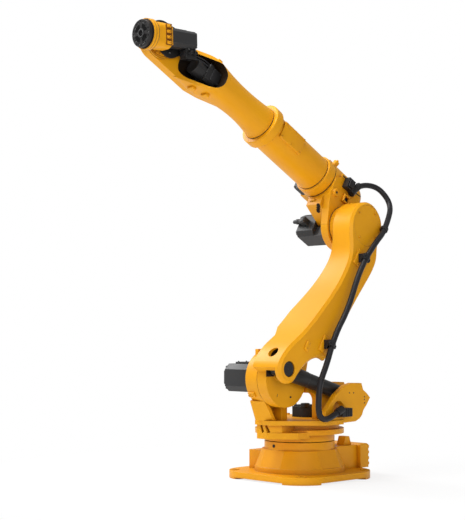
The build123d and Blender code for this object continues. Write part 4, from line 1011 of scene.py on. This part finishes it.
# tool flange: four kidney pockets between its spokes, the centre bore, and the rim's tapped holes,
# all as thin near-black patches of painted shade, with a grey ring round the bore
sunk, patch_face, hole_face = 0.2030, 0.2056, 0.2055
pocket_inner, pocket_outer = 0.0290, 0.0545
rim_circle, rim_hole = 0.0680, 0.0046
bore_radius = 0.0175
bm = bmesh.new()
for turn in range(4):
    start = radians(14 + 90 * turn)
    arc_block(
        bm,
        pocket_inner,
        pocket_outer,
        sunk,
        patch_face,
        start,
        radians(62),
        wrist_place,
        tool_along,
        outward,
    )
plain_ring(bm, 0.0010, bore_radius, sunk, patch_face, wrist_place, tool_along, 32)
for turn in range(10):
    angle = radians(36 * turn + 18)
    place = on_tool(0.0, rim_circle * cos(angle), rim_circle * sin(angle))
    plain_ring(bm, 0.0008, rim_hole, sunk, hole_face, place, tool_along, 14)
pocket_black = sprayed(
    "pocket_black",
    colour=(0.005, 0.005, 0.005),
    drifted=(0.004, 0.004, 0.004),
    thin=(0.020, 0.020, 0.020),
    corner_shade=(0.003, 0.003, 0.003),
    gloss=0.70,
    peel_depth=0.0002,
    shine=0.05,
)
new_piece("flange_pockets", bm, "flange", "black_paint", pocket_black)
bm = bmesh.new()
turned(
    bm,
    (
        (0.0180, 0.2040),
        (0.0250, 0.2040),
        (0.0250, 0.2066),
        (0.0242, 0.2072),
        (0.0188, 0.2072),
        (0.0180, 0.2066),
    ),
    wrist_place,
    tool_along,
)
new_piece("flange_centre_ring", bm, "flange", "dark_grey_paint", motor_grey)


def ground_metal(name, colour, gloss):
    metal = bpy.data.materials.new(name)
    metal.use_nodes = True
    nodes, links = metal.node_tree.nodes, metal.node_tree.links
    shader = node_inputs(nodes["Principled BSDF"], Metallic=1.0)
    place = nodes.new("ShaderNodeTexCoord")
    stretch = node_inputs(nodes.new("ShaderNodeMapping"), Scale=(40.0, 900.0, 40.0))
    scratch = node_inputs(nodes.new("ShaderNodeTexNoise"), Scale=1.0, Detail=3.0)
    links.new(place.outputs["Object"], stretch.inputs["Vector"])
    links.new(stretch.outputs["Vector"], scratch.inputs["Vector"])
    dark = tuple(share * 0.7 for share in colour)
    links.new(
        colour_mix(nodes, links, scratch.outputs["Fac"], colour, dark), shader.inputs["Base Color"]
    )
    rough = ramp_between(nodes, links, scratch.outputs["Fac"], 0.2, 0.8)
    node_inputs(rough.node, To_Min=gloss - 0.08, To_Max=gloss + 0.10)
    links.new(rough, shader.inputs["Roughness"])
    return metal


ground_steel = ground_metal("ground_steel", (0.56, 0.55, 0.53), 0.30)

# junction box under the motor: two round plugs, a plate, and three bright screws
box_plate, box_plate_size = on_tool(-0.112, 0.0, -0.074), (0.040, 0.040, 0.008)
bm = bmesh.new()
for along in (-0.176, -0.140):
    turned(
        bm,
        (
            (0.003, 0.022),
            (0.010, 0.022),
            (0.012, 0.018),
            (0.012, 0.008),
            (0.014, 0.006),
            (0.014, -0.002),
            (0.003, -0.002),
        ),
        on_tool(along, 0.028, -0.075),
        outward,
        steps=20,
    )
slab(bm, box_plate, box_plate_size, tool_along, outward, 0.003)
new_piece("junction_plugs", bm, "wrist", "black_plastic", black_plastic)
bm = bmesh.new()
cap_screws(bm, [on_tool(-0.051, -0.052, -0.073)], outward, 0.007)
for along in (-0.184, -0.132):
    cap_screws(bm, [on_tool(along, 0.028, -0.054)], outward, 0.005)
new_piece("wrist_bright_screws", bm, "wrist", "ground_steel", ground_steel)


# Dress hose: a black rubber hose for the cables, from the plug on the turret up the side of the
# lower arm under two clips and over to the elbow in a free loop. It is smooth and slightly shiny.
hose_rubber = sprayed(
    "hose_rubber",
    colour=(0.014, 0.013, 0.015),
    drifted=(0.020, 0.019, 0.021),
    thin=(0.03, 0.03, 0.03),
    corner_shade=(0.006, 0.006, 0.006),
    gloss=0.40,
    peel_depth=0.0006,
    shine=0.22,
)
hose_radius = 0.018
elbow_route = (
    (-0.347945, 0.172, 1.835326),
    (-0.404, 0.172, 1.872),
    (-0.528, 0.204, 1.868),
    (-0.568, 0.258, 1.796),
    (-0.562, 0.296, 1.722),
    (-0.478, 0.342, 1.638),
    (-0.368125, 0.3867, 1.53675),
    (-0.292, 0.398, 1.484),
    (-0.235038, 0.398, 1.424025),
)
arm_route = (
    (-0.235038, 0.398, 1.424025),
    (-0.139975, 0.398, 1.324013),
    (-0.014988, 0.398, 1.049963),
    (0.110, 0.398, 0.892),
    (0.162, 0.398, 0.768),
)
base_route = (
    (0.162, 0.398, 0.768),
    (0.182, 0.398, 0.720),
    (0.242, 0.398, 0.612),
    (0.254, 0.398, 0.540),
    (0.25805, 0.398, 0.429975),
    (0.224975, 0.398, 0.39195),
    (0.165013, 0.398, 0.39195),
    (0.092, 0.398, 0.425),
)


def hose_curve(name, route):
    curve = bpy.data.curves.new(name, "CURVE")
    curve.dimensions = "3D"
    line = curve.splines.new("NURBS")
    line.points.add(len(route) - 1)
    for point, place in zip(line.points, route):
        point.co = (*place, 1.0)
    line.order_u = 3
    line.use_endpoint_u = True
    line.resolution_u = 16
    return bpy.data.objects.new(name, curve)


def hose_piece(name, route, radius):
    follower = hose_curve(name + "_line", route)
    path = [v.co.copy() for v in bpy.data.meshes.new_from_object(follower).vertices]
    follower.data.bevel_depth = radius
    follower.data.bevel_resolution = 7
    mesh = bpy.data.meshes.new_from_object(follower)
    bpy.data.objects.remove(follower)
    mesh.materials.clear()
    mesh.materials.append(hose_rubber)
    for face in mesh.polygons:
        face.use_smooth = True
    piece = bpy.data.objects.new(name, mesh)
    bpy.context.collection.objects.link(piece)
    return piece


elbow_hose = hose_piece("hose_over_elbow", elbow_route, hose_radius)
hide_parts("dress_hose_elbow")
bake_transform(elbow_hose)
arm_hose = hose_piece("hose_along_arm", arm_route, hose_radius)
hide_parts("dress_hose_arm")
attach(arm_hose, "lower_arm")
base_hose = hose_piece("hose_to_turret", base_route, hose_radius)
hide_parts("dress_hose_base")
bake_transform(base_hose)

# ribbed gland on the hose's upper end with the tail of its tie, and a strap and a tie along the hose
gland_bore, rib_radius, groove_radius = 0.0183, 0.0235, 0.0210
rib_pitch = 0.009
bm = bmesh.new()
lead = (Vector(elbow_route[1]) - Vector(elbow_route[0])).normalized()
ribs = [(gland_bore, -0.004)]
for rib in range(6):
    along = rib_pitch * rib
    ribs += [(rib_radius, along - 0.004), (rib_radius, along + 0.001)]
    ribs += [(groove_radius, along + 0.002), (groove_radius, along + 0.0045)]
ribs += [(0.0205, 0.056), (gland_bore, 0.056)]
turned(bm, ribs, elbow_route[0], lead, steps=32)
new_piece("hose_gland", bm, "elbow", "black_plastic", black_plastic)
tie_tail = Vector(elbow_route[0]) - lead * 0.010 + Vector((-0.030, 0.006, -0.026))
tie_tail_size = (0.050, 0.008, 0.002)
bm = bmesh.new()
slab(bm, tie_tail, tie_tail_size, (0.2, 0.9, 0.3), (-0.7, 0.2, -0.5), 0.0006)
new_piece("gland_tie_tail", bm, "elbow", "black_plastic", black_plastic)


def hose_strap(bm, place, direction, width, proud):
    bore, edge = 0.0182, 0.001
    radii = (bore, bore + proud, bore + proud + edge)
    chamfered_band(bm, radii, -width, width, edge, place, direction, 32)
    buckle = Vector(place) + Vector((0.006, 0.020, 0.004))
    slab(bm, buckle, (0.014, 2 * width, 0.010), outward, frontward, 0.002)


bm = bmesh.new()
hose_strap(bm, (-0.3990, 0.3720, 1.5660), (0.60, 0.20, -0.55), 0.013, 0.006)
elbow_strap = new_piece("hose_strap_elbow", bm, None, "black_plastic", black_plastic)
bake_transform(elbow_strap)
bm = bmesh.new()
hose_strap(bm, (0.2290, 0.398, 0.6300), (0.45, 0.0, -0.85), 0.005, 0.002)
base_tie = new_piece("hose_tie_base", bm, None, "black_plastic", black_plastic)
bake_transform(base_tie)

# plug on the turret that the hose ends in: ribs on its hood and the two locking levers
hood_rib_size, lever_size = (0.007, 0.050, 0.006), (0.060, 0.006, 0.024)
bm = bmesh.new()
for front in (-0.018, 0.002, 0.022):
    slab(bm, (front, 0.416, 0.425), hood_rib_size, outward, frontward, 0.0015)
for level in (0.401, 0.449):
    slab(bm, (0.010, 0.400, level), lever_size, outward, frontward, 0.002)
new_piece("hose_plug_levers", bm, "turret", "black_plastic", black_plastic)

# the two leads in the forearm's mouth, from the fifth motor's plug to the cheek
for name, lift, radius in (("motor_lead", 0.0, 0.0065), ("brake_lead", 0.018, 0.0045)):
    lead_route = tuple(
        tuple(on_forearm(along, side, across))
        for along, side, across in (
            (1.366, 0.022, 0.030 + lift),
            (1.402, 0.022, 0.030 + lift),
            (1.452, 0.006, 0.026 + lift),
            (1.502, -0.044, 0.016 + lift),
            (1.550, -0.073, 0.006 + lift),
        )
    )
    cable = hose_piece(name, lead_route, radius)
    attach(cable, "forearm")


# Studio: a white floor that runs into a white world, a broad lamp over the arm's front, one behind on
# the left for the sheen, a weaker one on the near side, and the camera of the photograph.
floor_half = 30.0
shade_near, shade_far = 0.5, 2.2
air_strength = 0.44
studio_white = bpy.data.materials.new("studio_white")
studio_white.use_nodes = True
nodes, links = studio_white.node_tree.nodes, studio_white.node_tree.links
node_inputs(nodes["Principled BSDF"], Base_Color=(0.9, 0.9, 0.9, 1.0), Roughness=0.8)
glow = nodes.new("ShaderNodeEmission")
seen = nodes.new("ShaderNodeLightPath")
direct, mirrored = seen.outputs["Is Camera Ray"], seen.outputs["Is Glossy Ray"]
straight = node_maths(nodes, links, "ADD", direct, mirrored)
through = node_maths(nodes, links, "ADD", straight, seen.outputs["Is Transmission Ray"])
through.node.use_clamp = True
place = nodes.new("ShaderNodeTexCoord")
reach = nodes.new("ShaderNodeVectorMath")
reach.operation = "LENGTH"
links.new(place.outputs["Object"], reach.inputs[0])
bright = ramp_between(nodes, links, reach.outputs["Value"], shade_near, shade_far)
node_inputs(bright.node, To_Min=0.80, To_Max=1.0)
mixed = nodes.new("ShaderNodeMixShader")
links.new(node_maths(nodes, links, "MULTIPLY", through, bright), mixed.inputs["Fac"])
links.new(nodes["Principled BSDF"].outputs["BSDF"], mixed.inputs[1])
links.new(glow.outputs["Emission"], mixed.inputs[2])
links.new(mixed.outputs["Shader"], nodes["Material Output"].inputs["Surface"])
bm = bmesh.new()
bmesh.ops.create_grid(bm, x_segments=2, y_segments=2, size=floor_half)
floor_mesh = bpy.data.meshes.new("studio_floor")
bm.to_mesh(floor_mesh)
bm.free()
floor_mesh.materials.append(studio_white)
studio_floor = bpy.data.objects.new("studio_floor", floor_mesh)
bpy.context.collection.objects.link(studio_floor)

world = bpy.data.worlds.new("studio_air")
world.use_nodes = True
nodes, links = world.node_tree.nodes, world.node_tree.links
node_inputs(nodes["Background"], Color=(1.0, 1.0, 1.0, 1.0), Strength=air_strength)
white = node_inputs(nodes.new("ShaderNodeBackground"), Color=(1.0, 1.0, 1.0, 1.0), Strength=1.0)
seen = nodes.new("ShaderNodeLightPath")
mixed = nodes.new("ShaderNodeMixShader")
links.new(seen.outputs["Is Camera Ray"], mixed.inputs["Fac"])
links.new(nodes["Background"].outputs["Background"], mixed.inputs[1])
links.new(white.outputs["Background"], mixed.inputs[2])
links.new(mixed.outputs["Shader"], nodes["World Output"].inputs["Surface"])
bpy.context.scene.world = world


def softbox(name, place, target, width, height, power):
    lamp = bpy.data.lights.new(name, "AREA")
    lamp.shape = "RECTANGLE"
    lamp.size = width
    lamp.size_y = height
    lamp.energy = power
    box = bpy.data.objects.new(name, lamp)
    box.matrix_world = facing(place, Vector(place) - Vector(target))
    bpy.context.collection.objects.link(box)


lit_middle = (0.3, 0.1, 1.3)
softbox("top_lamp", (2.5, -0.2, 6.1), lit_middle, 3.0, 2.6, 260)
softbox("left_sheen_lamp", (1.3, -4.8, 4.7), lit_middle, 3.2, 2.6, 300)
softbox("side_lamp", (3.6, 5.0, 2.2), lit_middle, 2.4, 2.4, 85)

camera_right = Vector((-0.72422, 0.68957, 0.0))
camera_up = Vector((0.04148, 0.04357, 0.99819))
camera_back = camera_right.cross(camera_up)
camera_place = Vector((5.6008, 5.2690, 0.9080))
camera_lens, camera_sensor = 83.57, 36.0
camera_data = bpy.data.cameras.new("camera")
camera_data.lens = camera_lens
camera_data.sensor_width = camera_sensor
camera = bpy.data.objects.new("camera", camera_data)
pose = Matrix((camera_right, camera_up, camera_back)).transposed().to_4x4()
pose.translation = camera_place
camera.matrix_world = pose
bpy.context.collection.objects.link(camera)
bpy.context.scene.camera = camera
bpy.context.scene.view_settings.view_transform = "Standard"
